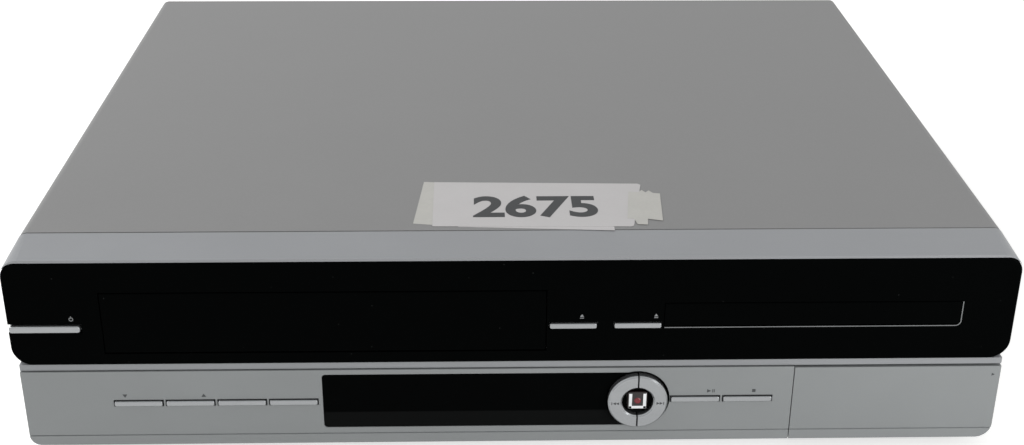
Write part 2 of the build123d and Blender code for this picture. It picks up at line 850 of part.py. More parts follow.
# the standby bar runs out through the left edge, with two stems
with BuildPart() as standby_button:
    with BuildSketch(upright(key_back)):
        patch((standby_left, standby_low), (standby_right, standby_high))
        fillet(vertices(), 1.2)
    extrude(amount=key_back + key_proud)
    fillet(faces().sort_by(Axis.Y)[0].outer_wire().edges(), 0.6)
    for x in standby_stems:
        with BuildSketch(upright(flange_back)):
            with Locations((x, upper_key_row)):
                Rectangle(stem_width, stem_depth)
        extrude(amount=flange_back - key_back)
    # cross-bar behind the wall, pressing one switch
    block(
        (standby_stems[0] - 2, standby_stems[1] + 2),
        (flange_front, flange_back),
        (standby_low - 0.6, standby_high + 0.6),
    )
    spigot(switch_places[-4][0], upper_key_row, (flange_back, stem_end), 1.6)
hand_over(standby_button, "standby_button")

# seek ring in two halves
for side, name in ((-1, "seek_back_button"), (1, "seek_forward_button")):
    with BuildPart() as half_ring:
        with BuildSketch(upright(ring_back)):
            with Locations((ring_x, key_row)):
                Circle(ring_radius)
                Circle(ring_bore, mode=Mode.SUBTRACT)
            patch(
                (ring_x - side * ring_radius, key_row - ring_radius),
                (ring_x + side * ring_split / 2, key_row + ring_radius),
                Mode.SUBTRACT,
            )
        extrude(amount=ring_back + ring_reach)
        chamfer(faces().sort_by(Axis.Y)[0].edges().filter_by(GeomType.CIRCLE), 0.7)
        with BuildSketch(upright(stem_end)):
            with Locations((ring_x + side * ring_stem_offset, key_row)):
                Rectangle(3, 3)
        extrude(amount=stem_end - ring_back)
        with BuildSketch(upright(flange_back)):
            with Locations((ring_x + side * (ring_stem_offset + 0.5), key_row)):
                Rectangle(5.5, 6)
        extrude(amount=flange_back - flange_front)
    hand_over(half_ring, name)

with BuildPart() as record_button:
    with BuildSketch(upright(key_back)):
        with Locations((ring_x, key_row)):
            RectangleRounded(record_size, record_size, 1.2)
    extrude(amount=key_back + record_reach)
    fillet(faces().sort_by(Axis.Y)[0].outer_wire().edges(), 0.6)
    with BuildSketch(upright(stem_end)):
        with Locations((ring_x, key_row)):
            Rectangle(3, 3)
    extrude(amount=stem_end - key_back)
    with BuildSketch(upright(flange_back)):
        with Locations((ring_x, key_row)):
            Rectangle(6, 6)
    extrude(amount=flange_back - flange_front)
hand_over(record_button, "record_button")

# ------------------------------------------------------------------ cassette door
door_half = door_width / 2
arm_outer = door_half - 0.3
arm_inner = arm_outer - door_arm
pivot_height = door_high + door_pivot_rise
door_swing = hypot(door_pivot_depth, pivot_height - door_low)
door_reach = door_pivot_depth + pivot_height - door_low

with BuildPart() as cassette_door:
    block((door_x - door_half, door_x + door_half), (0, door_thick), (door_low, door_high))
    fillet(edges().filter_by(Axis.X).sort_by(Axis.Y)[:2], 0.6)
    for span in both_sides(arm_inner, arm_outer):
        arm = (door_x + span[0], door_x + span[1])
        with BuildSketch(across(arm[0])) as profile:
            with Locations((door_pivot_depth, pivot_height)):
                Circle(2.1)
            patch((3.4, door_high - 8), (7, pivot_height))
            patch((door_thick - 0.2, door_high - 8), (7, door_high - 0.6))
        extrude(profile.sketch, amount=door_arm)
    for span in both_sides(arm_outer, door_pin_end):
        axle(door_pivot_depth, pivot_height, (door_x + span[0], door_x + span[1]), door_pin)
hand_over(cassette_door, "cassette_door")

# ------------------------------------------------------------------ front flap
with BuildPart() as front_flap:
    with BuildSketch(upright(flap_thick)):
        patch((flap_left, 0), (flap_right, flap_high))
        fillet(vertices().group_by(Axis.Y)[0].sort_by(Axis.X)[-1], flap_corner)
    extrude(amount=flap_thick)
    with BuildSketch(across(flap_left - 1)):
        with BuildLine():
            Polyline(
                (-1, crease_height - 2 * crease_depth),
                (crease_depth, crease_height),
                (-1, crease_height + 2 * crease_depth),
                close=True,
            )
        make_face()
    extrude(amount=lower_width, mode=Mode.SUBTRACT)
    for span in ears:
        block(span, (flap_thick - 0.2, flap_pivot_depth + 1.5), (1.5, 8))
    axle(flap_pivot_depth, flap_pivot_height, (flap_lug_left + 0.8, ear_left + 0.1), flap_pin)
    axle(
        flap_pivot_depth,
        flap_pivot_height,
        (ear_right - 0.1, hollow_half + moulding - 0.9),
        flap_pin,
    )
hand_over(front_flap, "front_flap")

# ------------------------------------------------------------------ sockets behind the flap
jack_height = 23.0
front_phonos = [(138.0 + place * 14.0, jack_height) for place in range(3)]
front_s_video = (182.0, jack_height)
front_digital = (192.5, jack_height + 5)
front_serial = (199.5, jack_height - 5)
plate_back = recess_depth + recess_wall

with BuildPart() as jack_panel:
    with BuildSketch(upright(plate_back)):
        patch(*recess_outer)
    extrude(amount=plate_back - flap_thick - gap - 0.2)
    with BuildSketch(upright(recess_depth)):
        patch((recess_left, recess_low), (recess_right, recess_high))
    extrude(amount=recess_depth, mode=Mode.SUBTRACT)
    with BuildSketch(upright(wall_back + 1.5)):
        patch((ear_left + flap_ear + 0.6, recess_outer[0][1]), (ear_right - 3, recess_outer[1][1] + 1.5))
        patch(*recess_outer, Mode.SUBTRACT)
    extrude(amount=1.5)
    with BuildSketch(upright(plate_back)):
        with Locations(*front_phonos):
            Circle(5.2)
        with Locations(front_s_video):
            Circle(5)
        with Locations(front_digital):
            Rectangle(6, 5)
        with Locations(front_serial):
            Rectangle(13, 6)
    extrude(amount=recess_wall + 1, mode=Mode.SUBTRACT)
hand_over(jack_panel, "jack_panel")

with BuildPart() as front_jacks:
    with BuildSketch(upright(24)):
        with Locations(*front_phonos):
            Circle(5)
            Circle(1.7, mode=Mode.SUBTRACT)
    extrude(amount=24 - recess_depth)
    with BuildSketch(upright(recess_depth)):
        with Locations(*front_phonos):
            Circle(phono_radius)
            Circle(1.7, mode=Mode.SUBTRACT)
    extrude(amount=7)
    spigot(*front_s_video, (recess_depth + 0.2, 24), 4.8)
    spigot(*front_s_video, (recess_depth - 1, 23), 3.6, Mode.SUBTRACT)
    with BuildSketch(upright(24)):
        with Locations(front_digital):
            Rectangle(5.6, 4.6)
            Rectangle(4.4, 3.4, mode=Mode.SUBTRACT)
        with Locations(front_serial):
            Rectangle(12.6, 5.6)
            Rectangle(11.6, 4.6, mode=Mode.SUBTRACT)
    extrude(amount=4.6)
    with BuildSketch(upright(24)):
        with Locations(front_digital):
            Rectangle(5.6, 4.6)
        with Locations(front_serial):
            Rectangle(12.6, 5.6)
    extrude(amount=0.8)
hand_over(front_jacks, "front_jacks")

# ------------------------------------------------------------------ disc tray
disc_radius = 60.0
small_disc_radius = 40.0
disc_room = 1.0
tray_half = bezel_width / 2 - gap
tray_length = 164.0
tray_low = 59.2
tray_high = 68.0
tray_end = bezel_thick + tray_length
well_depth = 70.0         # centre of the disc behind the face
slot_half = 20.0
slot_front = 51.0
slot_back = 150.0
rack_line = tray_x - 44.0     # pitch line of the rack
rack_back = 4.0

# ------------------------------------------------------------------ gears of the tray
gear_module = 1.5
pressure_angle = 20.0
tooth_top = 0.8
tooth_root = 1.15
backlash = 0.25
upper_teeth = 16
lower_teeth = 20
pinion_teeth = 10
gear_depth = 26.0
upper_pitch = gear_module * upper_teeth / 2
lower_pitch = gear_module * lower_teeth / 2
pinion_pitch = gear_module * pinion_teeth / 2
gear_x = rack_line + upper_pitch
pulley_x = gear_x + lower_pitch + pinion_pitch
motor_x = tray_x + 26.0
post_radius = 2.0


def flank_angle(radius, pitch_radius, teeth):
    """Half the angle a tooth takes up at a radius, from its involute."""
    base_radius = pitch_radius * cos(radians(pressure_angle))
    reach = max(radius, base_radius)
    turn = (reach**2 / base_radius**2 - 1) ** 0.5
    pitch_turn = tan(radians(pressure_angle))
    roll = (pitch_turn - radians(pressure_angle)) - (turn - atan2(turn, 1))
    return pi / (2 * teeth) - backlash / (2 * pitch_radius) + roll


def toothed_wheel(x, depth, height, pitch_radius, teeth, turned):
    """A spur gear between two heights, one tooth at the turned angle (radians)."""
    outer = pitch_radius + tooth_top * gear_module
    root = pitch_radius - tooth_root * gear_module
    radii = (root, pitch_radius, outer)
    points = []
    for tooth in range(teeth):
        middle = turned + 2 * pi * tooth / teeth
        for radius in radii:
            angle = middle - flank_angle(radius, pitch_radius, teeth)
            points.append((x + radius * cos(angle), depth + radius * sin(angle)))
        for radius in radii[::-1]:
            angle = middle + flank_angle(radius, pitch_radius, teeth)
            points.append((x + radius * cos(angle), depth + radius * sin(angle)))
    with BuildSketch(level(height[0])) as outline:
        with BuildLine():
            Polyline(*points, close=True)
        make_face()
    extrude(outline.sketch, amount=height[1] - height[0])


with BuildPart() as disc_tray:
    block((tray_x - tray_half, tray_x + tray_half), (bezel_thick, tray_end), (tray_low, tray_high))
    # hollow underneath, the rack's strip left standing
    block(
        (tray_x - tray_half + 2, tray_x + tray_half - 2),
        (bezel_thick + 2, tray_end - 2),
        (tray_low, tray_low + 3),
        Mode.SUBTRACT,
    )
    post(tray_x, well_depth, (65.4, tray_high), disc_radius + disc_room, Mode.SUBTRACT)
    post(tray_x, well_depth, (64.2, tray_high), small_disc_radius + disc_room, Mode.SUBTRACT)
    block(
        (tray_x - slot_half, tray_x + slot_half),
        (slot_front, slot_back),
        (tray_low, tray_high),
        Mode.SUBTRACT,
    )
    block((rack_line - rack_back, rack_line - tooth_root * gear_module), (8, tray_end - 6), (tray_low, 62.4))
    # notch in the back rim, over the gear when the tray is out
    block(
        (rack_line - 1, gear_x + upper_pitch + tooth_top * gear_module + 1),
        (tray_end - 3, tray_end + 1),
        (tray_low, tray_low + 3),
        Mode.SUBTRACT,
    )
    rack_teeth = int((tray_length - 12) / (pi * gear_module))
    with BuildSketch(level(tray_low)) as rack:
        for tooth in range(rack_teeth):
            # a gap of the rack faces the gear's tooth
            depth = gear_depth + (tooth - 3 + 0.5) * pi * gear_module
            half = pi * gear_module / 4 - backlash / 2
            slope = tan(radians(pressure_angle)) * gear_module
            with BuildLine():
                Polyline(
                    (rack_line - tooth_root * gear_module - 0.1, depth - half - tooth_root * slope),
                    (rack_line + tooth_top * gear_module, depth - half + tooth_top * slope),
                    (rack_line + tooth_top * gear_module, depth + half - tooth_top * slope),
                    (rack_line - tooth_root * gear_module - 0.1, depth + half + tooth_root * slope),
                    close=True,
                )
            make_face()
    extrude(rack.sketch, amount=3.2)
hand_over(disc_tray, "disc_tray")

with BuildPart() as tray_bezel:
    bezel_half = bezel_width / 2
    block((tray_x - bezel_half, tray_x + bezel_half), (0, bezel_thick), (bezel_low, bezel_high))
    fillet(edges().filter_by(Axis.X).sort_by(Axis.Y)[:2], 0.8)
hand_over(tray_bezel, "tray_bezel")

with BuildPart() as tray_gear:
    toothed_wheel(gear_x, gear_depth, (59.2, 61.6), upper_pitch, upper_teeth, pi)
    toothed_wheel(gear_x, gear_depth, (53.5, 56.5), lower_pitch, lower_teeth, 0)
    post(gear_x, gear_depth, (56.5, 59.2), 5)
    post(gear_x, gear_depth, (53, 62), post_radius + running, Mode.SUBTRACT)
hand_over(tray_gear, "tray_gear")

pulley_radius = 13.2
motor_groove = 3.2
belt_section = 1.6
belt_outer = pulley_radius + running + belt_section
belt_lean = (pulley_radius - motor_groove) / (motor_x - pulley_x)
keeper_reach = belt_outer + gap + post_radius
with BuildPart() as belt_pulley:
    toothed_wheel(pulley_x, gear_depth, (53.3, 56.7), pinion_pitch, pinion_teeth, pi + pi / pinion_teeth)
    post(pulley_x, gear_depth, (52.2, 53.3), 5.5)
    post(pulley_x, gear_depth, (49.6, 51.6), pulley_radius)
    for low, high in ((49.0, 49.6), (51.6, 52.2)):
        post(pulley_x, gear_depth, (low, high), pulley_radius + 0.8)
    post(pulley_x, gear_depth, (48, 57), post_radius + running, Mode.SUBTRACT)
hand_over(belt_pulley, "belt_pulley")

with BuildPart() as motor_pulley:
    post(motor_x, gear_depth, (49.0, 52.2), motor_groove)
    for low, high in ((49.0, 49.6), (51.6, 52.2)):
        post(motor_x, gear_depth, (low, high), motor_groove + 0.8)
    post(motor_x, gear_depth, (48, 53), 1 + running, Mode.SUBTRACT)
hand_over(motor_pulley, "motor_pulley")

with BuildPart() as tray_belt:
    for grow, mode in ((belt_section, Mode.ADD), (0, Mode.SUBTRACT)):
        with BuildSketch(level(49.8)) as loop:
            with Locations((pulley_x, gear_depth)):
                Circle(pulley_radius + running + grow)
            with Locations((motor_x, gear_depth)):
                Circle(motor_groove + running + grow)
            make_hull()
        extrude(loop.sketch, amount=belt_section, mode=mode)
hand_over(tray_belt, "tray_belt")

with BuildPart() as tray_motor:
    post(motor_x, gear_depth, (37.5, 46), 10)
    post(motor_x, gear_depth, (46, 53), 1)
hand_over(tray_motor, "tray_motor")

# ------------------------------------------------------------------ loader frame
loader_base = 46.0
loader_floor = loader_base + 2.5
loader_half = tray_half + gap
loader_outer = loader_half + 2.5
loader_front = 7.5
loader_back = 200.0
loader_tab = 70.8
frame_open = 40.0
pivot_depth = 165.0
pivot_rise = 54.0
with BuildPart() as loader_frame:
    block((tray_x - loader_tab, tray_x + loader_tab), (loader_front, loader_back), (loader_base, loader_floor))
    for inner, outer in both_sides(loader_half, loader_outer):
        block((tray_x + inner, tray_x + outer), (loader_front, loader_back), (loader_floor, 72))
    # ledges under the tray's edges, and fingers over them
    for inner, outer in both_sides(61.7, loader_half + 0.5):
        block((tray_x + inner, tray_x + outer), (loader_front, 190), (56.6, tray_low - gap))
        for depth in (12, 90, 180):
            block((tray_x + inner, tray_x + outer), (depth, depth + 8), (tray_high + gap, 70))
    block((tray_x - loader_outer, tray_x + loader_outer), (loader_back - 2.5, loader_back), (loader_floor, 72))
    block((tray_x - frame_open, tray_x + frame_open), (50, 176), (loader_base, loader_floor), Mode.SUBTRACT)
    block((tray_x + 16, tray_x + 24), (8, 44), (loader_base, loader_floor), Mode.SUBTRACT)
    post(motor_x, gear_depth, (loader_base, loader_floor), 3, Mode.SUBTRACT)
    # bridge over the tray that carries the clamp puck
    block((tray_x - loader_outer, tray_x + loader_outer), (54, 86), (76, 78))
    for inner, outer in both_sides(loader_half, loader_outer):
        block((tray_x + inner, tray_x + outer), (54, 86), (72, 76))
    post(tray_x, well_depth, (75, 79), 12, Mode.SUBTRACT)
    # lugs of the traverse pivot
    for inner, outer in both_sides(frame_open, frame_open + 3):
        block((tray_x + inner, tray_x + outer), (160, 170), (loader_floor, 57.5))
    axle(pivot_depth, pivot_rise, (tray_x - 44, tray_x + 44), 2 + running, Mode.SUBTRACT)
    post(gear_x, gear_depth, (loader_floor, 62), post_radius)
    post(gear_x, gear_depth, (loader_floor, 53.1), 4)
    post(pulley_x, gear_depth, (loader_floor, 57.5), post_radius)
    # keepers beside the belt's two runs
    for side in (-1, 1):
        keeper_x = pulley_x + keeper_reach * belt_lean + 15 * (1 - belt_lean**2) ** 0.5
        keeper_depth = keeper_reach * (1 - belt_lean**2) ** 0.5 - 15 * belt_lean
        post(keeper_x, gear_depth + side * keeper_depth, (loader_floor, 53), post_radius)
hand_over(loader_frame, "loader_frame")

with BuildPart() as drive_shell:
    with BuildSketch(upright(loader_back)):
        patch((tray_x - 71.6, 40), (tray_x + 71.6, 84))
        patch((tray_x - loader_tab, 39), (tray_x + loader_tab, 83.2), Mode.SUBTRACT)
    extrude(amount=loader_back - board_back - 1.4)
    for inner, outer in both_sides(loader_tab, 71.6):
        for depth in (30, 180):
            block((tray_x + inner, tray_x + outer), (depth, depth + 12), (pan_sheet, 40))
hand_over(drive_shell, "drive_shell")

# ------------------------------------------------------------------ traverse, lowered
lift_reach = pivot_depth - well_depth
lift_drop = 11.5
lift_angle = degrees(asin(lift_drop / lift_reach))


def tilted(along, rise):
    """Plane of the lowered traverse: x across, y back along the frame."""
    slope = radians(lift_angle)
    origin = (
        tray_x,
        front + pivot_depth + along * cos(slope) - rise * sin(slope),
        base + pivot_rise + along * sin(slope) + rise * cos(slope),
    )
    return Plane(origin=origin, x_dir=(1, 0, 0), z_dir=(0, -sin(slope), cos(slope)))


def tilted_post(x, along, rise, radius, mode=Mode.ADD):
    """A cylinder square to the traverse, between two rises."""
    with BuildSketch(tilted(along, rise[0])) as outline:
        with Locations((x, 0)):
            Circle(radius)
    extrude(outline.sketch, amount=rise[1] - rise[0], mode=mode)


def tilted_block(x, along, rise, mode=Mode.ADD):
    """A square-cornered solid on the traverse."""
    with BuildSketch(tilted(0, rise[0])) as outline:
        patch((x[0], along[0]), (x[1], along[1]))
    extrude(outline.sketch, amount=rise[1] - rise[0], mode=mode)


def tilted_rod(x, rise, along, radius, mode=Mode.ADD):
    """A cylinder that runs along the traverse."""
    near = tilted(along[0], rise)
    with BuildSketch(Plane(origin=near.origin, x_dir=(1, 0, 0), z_dir=near.y_dir)) as outline:
        with Locations((x, 0)):
            Circle(radius)
    extrude(outline.sketch, amount=along[1] - along[0], mode=mode)


turntable_radius = 15.0
rod_x = 22.0
screw_x = 30.0
sled_travel = 34.0
sled_rest = -71.0
with BuildPart() as traverse_frame:
    tilted_block((-34, 34), (-112, 4), (-3, -1))
    tilted_block((-20, 27), (-82, -20), (-4, 0), Mode.SUBTRACT)
    for along in (-87, -17):
        tilted_block((-26, -18), (along, along + 3), (-1, 4))
        tilted_block((18, 33.5), (along, along + 3), (-1, 5))
    for inner, outer in both_sides(30, 34):
        tilted_block((inner, outer), (-3, 4), (-1, 3))
    for inner, outer in both_sides(33, 43):
        axle(pivot_depth, pivot_rise, (tray_x + inner, tray_x + outer), 2)
    for x in (-rod_x, rod_x):
        tilted_rod(x, 2, (-90, -10), 1.5, Mode.SUBTRACT)
    tilted_rod(screw_x, 2, (-90, -10), 2.05, Mode.SUBTRACT)
hand_over(traverse_frame, "traverse_frame")

with BuildPart() as spindle_motor:
    tilted_post(0, -lift_reach, (-1, 4), 12)
    tilted_post(0, -lift_reach, (4, 14), 1.5)
hand_over(spindle_motor, "spindle_motor")

with BuildPart() as turntable:
    tilted_post(0, -lift_reach, (10.4, 12.4), turntable_radius)
    tilted_post(0, -lift_reach, (4.4, 10.4), 6)
    tilted_post(0, -lift_reach, (12.4, 15.4), 7.3)
    chamfer(edges().filter_by(GeomType.CIRCLE).sort_by(Axis.Z)[-1], 1.5)
    tilted_post(0, -lift_reach, (0, 16), 1.5 + running, Mode.SUBTRACT)
hand_over(turntable, "turntable")

with BuildPart() as guide_rods:
    for x in (-rod_x, rod_x):
        tilted_rod(x, 2, (-87, -14), 1.5)
hand_over(guide_rods, "guide_rods")

with BuildPart() as pickup_sled:
    tilted_block((-27, 27), (sled_rest - 10, sled_rest + 10), (-0.5, 5.5))
    tilted_post(0, sled_rest, (5.5, 9.0), 8)
    tilted_post(0, sled_rest, (9.0, 9.5), 3)
    tilted_block((26, 33), (sled_rest - 3, sled_rest + 3), (2, 5.5))
    for x in (-rod_x, rod_x):
        tilted_rod(x, 2, (-90, -10), 1.5 + running, Mode.SUBTRACT)
    tilted_rod(screw_x, 2, (-90, -10), 2 + gap, Mode.SUBTRACT)
    tilted_post(0, -lift_reach, (-2, 8), 12 + gap + 0.4, Mode.SUBTRACT)
hand_over(pickup_sled, "pickup_sled")

with BuildPart() as lead_screw:
    tilted_rod(screw_x, 2, (-90, -14), 2)
hand_over(lead_screw, "lead_screw")

with BuildPart() as clamp_puck:
    post(tray_x, well_depth, (70.5, 72.5), 16)
    post(tray_x, well_depth, (72.5, 78.3), 11)
    post(tray_x, well_depth, (78.3, 79.4), 14)
hand_over(clamp_puck, "clamp_puck")

# ------------------------------------------------------------------ cassette deck
carrier_front = door_reach + gap + snug
carrier_half = cassette_width / 2 + 0.8
carrier_sheet = 0.8
carrier_floor = door_low + 1.4
carrier_room = cassette_height + 0.8
carrier_length = cassette_depth + 1
carrier_outer = carrier_half + carrier_sheet
carrier_low = carrier_floor - carrier_sheet
carrier_high = carrier_floor + carrier_room + carrier_sheet
carrier_back = carrier_front + carrier_length
carry_in = 52.0
carry_down = 18.0
ledge_width = 18.0
carrier_pin = 1.5
carrier_pin_height = carrier_high - 3.7
carrier_pins = (carrier_front + 15, carrier_back - 15)
slider_gap = 0.4
slider_sheet = 1.2
slider_inner = carrier_outer + slider_gap
slider_outer = slider_inner + slider_sheet
slider_pin_height = 60.0
slider_pins = (carrier_front + 25, carrier_back - 25)
deck_sheet = 1.2
deck_inner = slider_outer + slider_gap
deck_outer = deck_inner + deck_sheet
deck_floor = 21.2
deck_front = carrier_front + 4
reel_offset = 46.0
reel_depth = carrier_front + carry_in + reel_offset
drum_radius = 31.0
drum_depth = carrier_back + carry_in + 2 + drum_radius
deck_back = drum_depth + drum_radius + 8
drum_tilt = 5.7
capstan_at = (door_x + 58, carrier_back + carry_in + 7)
pinch_at = (door_x + 66, carrier_back + carry_in + 13)
slot_room = 0.2

with BuildPart() as cassette_carrier:
    depths = (carrier_front, carrier_back)
    block((door_x - carrier_outer, door_x + carrier_outer), depths, (carrier_low, carrier_high))
    block(
        (door_x - carrier_half, door_x + carrier_half),
        depths,
        (carrier_floor, carrier_floor + carrier_room),
        Mode.SUBTRACT,
    )
    open_half = carrier_half - ledge_width
    block((door_x - open_half, door_x + open_half), depths, (carrier_low, carrier_floor), Mode.SUBTRACT)
    # windows in the roof, and the two springs' tongues between them
    for inner, outer in both_sides(12, 70):
        block(
            (door_x + inner, door_x + outer),
            (carrier_front + 14, carrier_back - 14),
            (carrier_high - 2, carrier_high + 1),
            Mode.SUBTRACT,
        )
    for inner, outer in both_sides(carrier_outer, slider_outer):
        for depth in carrier_pins:
            axle(depth, carrier_pin_height, (door_x + inner, door_x + outer), carrier_pin)
hand_over(cassette_carrier, "cassette_carrier")

with BuildPart() as loading_slider:
    slider_depths = (carrier_front + 5, carrier_back - 5)
    bar_low = carrier_high + slider_gap
    block(
        (door_x - slider_outer, door_x + slider_outer),
        slider_depths,
        (carrier_low, bar_low + slider_sheet),
    )
    block(
        (door_x - slider_inner, door_x + slider_inner),
        slider_depths,
        (carrier_low, bar_low),
        Mode.SUBTRACT,
    )
    block(
        (door_x - 60, door_x + 60),
        (carrier_front + 25, carrier_back - 20),
        (bar_low, bar_low + slider_sheet),
        Mode.SUBTRACT,
    )
    for inner, outer in both_sides(slider_inner, slider_outer):
        for depth in carrier_pins:
            block(
                (door_x + inner, door_x + outer),
                (depth - carrier_pin - slot_room, depth + carrier_pin + slot_room),
                (
                    carrier_pin_height - carry_down - carrier_pin - slot_room,
                    carrier_pin_height + carrier_pin + slot_room,
                ),
                Mode.SUBTRACT,
            )
    for inner, outer in both_sides(slider_outer, deck_outer):
        for depth in slider_pins:
            axle(depth, slider_pin_height, (door_x + inner, door_x + outer), carrier_pin)
hand_over(loading_slider, "loading_slider")

with BuildPart() as deck_chassis:
    block((door_x - deck_outer, door_x + deck_outer), (deck_front, deck_back), (deck_floor - deck_sheet, deck_floor))
    for inner, outer in both_sides(deck_inner, deck_outer):
        side_span = (door_x + inner, door_x + outer)
        block(side_span, (deck_front, carrier_back + carry_in), (deck_floor, 70))
        block(
            side_span,
            (slider_pins[0] - carrier_pin - slot_room, slider_pins[1] + carry_in + carrier_pin + slot_room),
            (
                slider_pin_height - carrier_pin - slot_room,
                slider_pin_height + carrier_pin + slot_room,
            ),
            Mode.SUBTRACT,
        )
        for depth in (deck_front + 12, deck_back - 12):
            middle = door_x + (inner + outer) / 2 * 0.93
            post(middle, depth, (pan_sheet, deck_floor - deck_sheet), 4)
    for side in (-1, 1):
        post(door_x + side * reel_offset, reel_depth, (deck_floor, 40), post_radius)
    post(*pinch_at, (deck_floor, 45), post_radius)
    post(*capstan_at, (deck_floor, deck_floor + 3), 4)
    post(*capstan_at, (10, deck_floor + 4), carrier_pin + running, Mode.SUBTRACT)
hand_over(deck_chassis, "deck_chassis")

for side, name in ((-1, "supply_reel"), (1, "takeup_reel")):
    with BuildPart() as reel:
        reel_x = door_x + side * reel_offset
        post(reel_x, reel_depth, (deck_floor + 2.8, deck_floor + 5.8), 17)
        post(reel_x, reel_depth, (deck_floor + 0.4, deck_floor + 2.8), 5)
        post(reel_x, reel_depth, (deck_floor + 5.8, deck_floor + 22), 9)
        with BuildSketch(level(deck_floor + 5.8)):
            with Locations((reel_x, reel_depth)):
                with PolarLocations(9.3, 3):
                    Rectangle(2.6, 1.6)
        extrude(amount=14)
        post(reel_x, reel_depth, (deck_floor, deck_floor + 20), post_radius + running, Mode.SUBTRACT)
    hand_over(reel, name)

drum_base = deck_floor + 4.4


def drum_level(rise):
    """Plane across the leaning drum's axis."""
    lean = radians(drum_tilt)
    origin = (door_x + rise * sin(lean), front + drum_depth, base + drum_base + rise * cos(lean))
    return Plane(origin=origin, x_dir=(cos(lean), 0, -sin(lean)), z_dir=(sin(lean), 0, cos(lean)))


def drum_post(rise, radius, mode=Mode.ADD):
    """A cylinder on the drum's axis between two rises."""
    with BuildSketch(drum_level(rise[0])) as outline:
        Circle(radius)
    extrude(outline.sketch, amount=rise[1] - rise[0], mode=mode)


with BuildPart() as lower_drum:
    drum_post((0, 19), drum_radius)
    drum_post((19, 41), 3)
    block((door_x - 20, door_x + 20), (drum_depth - 20, drum_depth + 20), (deck_floor, drum_base + 1))
hand_over(lower_drum, "lower_drum")

with BuildPart() as head_drum:
    drum_post((19 + gap, 40), drum_radius)
    chamfer(edges().filter_by(GeomType.CIRCLE).sort_by(Axis.Z)[-1], 1.2)
    drum_post((37, 40.1), 22, Mode.SUBTRACT)
    drum_post((18, 41), 3 + running, Mode.SUBTRACT)
hand_over(head_drum, "head_drum")

with BuildPart() as capstan:
    post(*capstan_at, (14, 60), carrier_pin)
    post(*capstan_at, (9, 14), 24)
hand_over(capstan, "capstan")

with BuildPart() as pinch_roller:
    post(*pinch_at, (deck_floor + 5, deck_floor + 20), 6.5)
    post(*pinch_at, (deck_floor, deck_floor + 21), post_radius + running, Mode.SUBTRACT)
hand_over(pinch_roller, "pinch_roller")

with BuildPart() as tape_guides:
    for x, depth in ((-38, 9), (38, 9), (-60, 8), (44, 22)):
        post(door_x + x, carrier_back + carry_in + depth, (deck_floor, 46), 2.5)
        post(door_x + x, carrier_back + carry_in + depth, (43, 46), 4)
    for x in (-50, 47):
        depth = carrier_back + carry_in + 3
        block((door_x + x - 4, door_x + x + 4), (depth, depth + 7), (deck_floor, 44))
hand_over(tape_guides, "tape_guides")

# ------------------------------------------------------------------ boards at the back
with BuildPart() as circuit_boards:
    block((tray_x - 62, tray_x + 62), (60, rear_board_front), (boards_height, board_top))
    block((-50, pan_half - board_margin), (rear_board_front, board_rear), (boards_height, board_top))
    block((board_margin - pan_half, -60), (power_board_front, board_rear), (boards_height, board_top))
hand_over(circuit_boards, "circuit_boards")

power_x = post_margin - pan_half
power_middle = (power_board_front + board_rear) / 2
rear_board_middle = (rear_board_front + board_rear) / 2
with BuildPart() as board_parts:
    block((power_x, power_x + 42), (power_board_front + 18, board_rear - 23), (board_top, 44))
    block((power_x + 3, power_x + 39), (power_board_front + 14, board_rear - 19), (board_top, 38))
    for x, depth in (
        (power_x + 54, power_board_front + 12),
        (power_x + 54, power_middle - 6.5),
        (-74, power_board_front + 12),
    ):
        post(x, depth, (board_top, 38), 9)
    sink_depth = power_board_front + 10
    block((-120, -84), (sink_depth, sink_depth + 3), (board_top, 48))
    for fin in range(7):
        block((-120 + fin * 5.8, -118.6 + fin * 5.8), (sink_depth + 3, sink_depth + 15), (board_top + 4, 48))
    for x, depth, width, length in (
        (tray_x - 0.15, 110, 32, 32),
        (tray_x - 29.15, 170, 24, 14),
        (tray_x + 20.85, 170, 24, 14),
        (tray_x - 0.15, 215, 28, 28),
        (tray_x - 39.15, 250, 18, 12),
        (20, rear_board_middle - 7, 30, 20),
    ):
        block((x - width / 2, x + width / 2), (depth - length / 2, depth + length / 2), (board_top, board_top + 3))
    for x, depth in (
        (tray_x + 40.85, 110),
        (tray_x + 40.85, 125),
        (tray_x - 41.15, 120),
        (tray_x - 41.15, 135),
        (tray_x + 42.85, 240),
        (-5, rear_board_middle - 19),
        (40, rear_board_middle - 19),
    ):
        post(x, depth, (board_top, board_top + 12), 5)
hand_over(board_parts, "board_parts")

# ------------------------------------------------------------------ fan
fan_front = pan_back - fan_thick
fan_bore = fan_size / 2 - 1.5
fan_hub = 12.0
with BuildPart() as fan_frame:
    half_fan = fan_size / 2
    block(
        (fan_x - half_fan, fan_x + half_fan),
        (fan_front, pan_back),
        (fan_height - half_fan, fan_height + half_fan),
    )
    spigot(fan_x, fan_height, (fan_front, pan_back), fan_bore, Mode.SUBTRACT)
    spigot(fan_x, fan_height, (fan_front, fan_front + 2), fan_hub)
    with BuildSketch(upright(fan_front + 2)):
        with Locations((fan_x, fan_height)):
            Rectangle(2 * fan_bore + 1, 3, rotation=45)
            Rectangle(2 * fan_bore + 1, 3, rotation=-45)
    extrude(amount=2)
    spigot(fan_x, fan_height, (fan_front + 2, pan_back - 4), 1.5)
hand_over(fan_frame, "fan_frame")

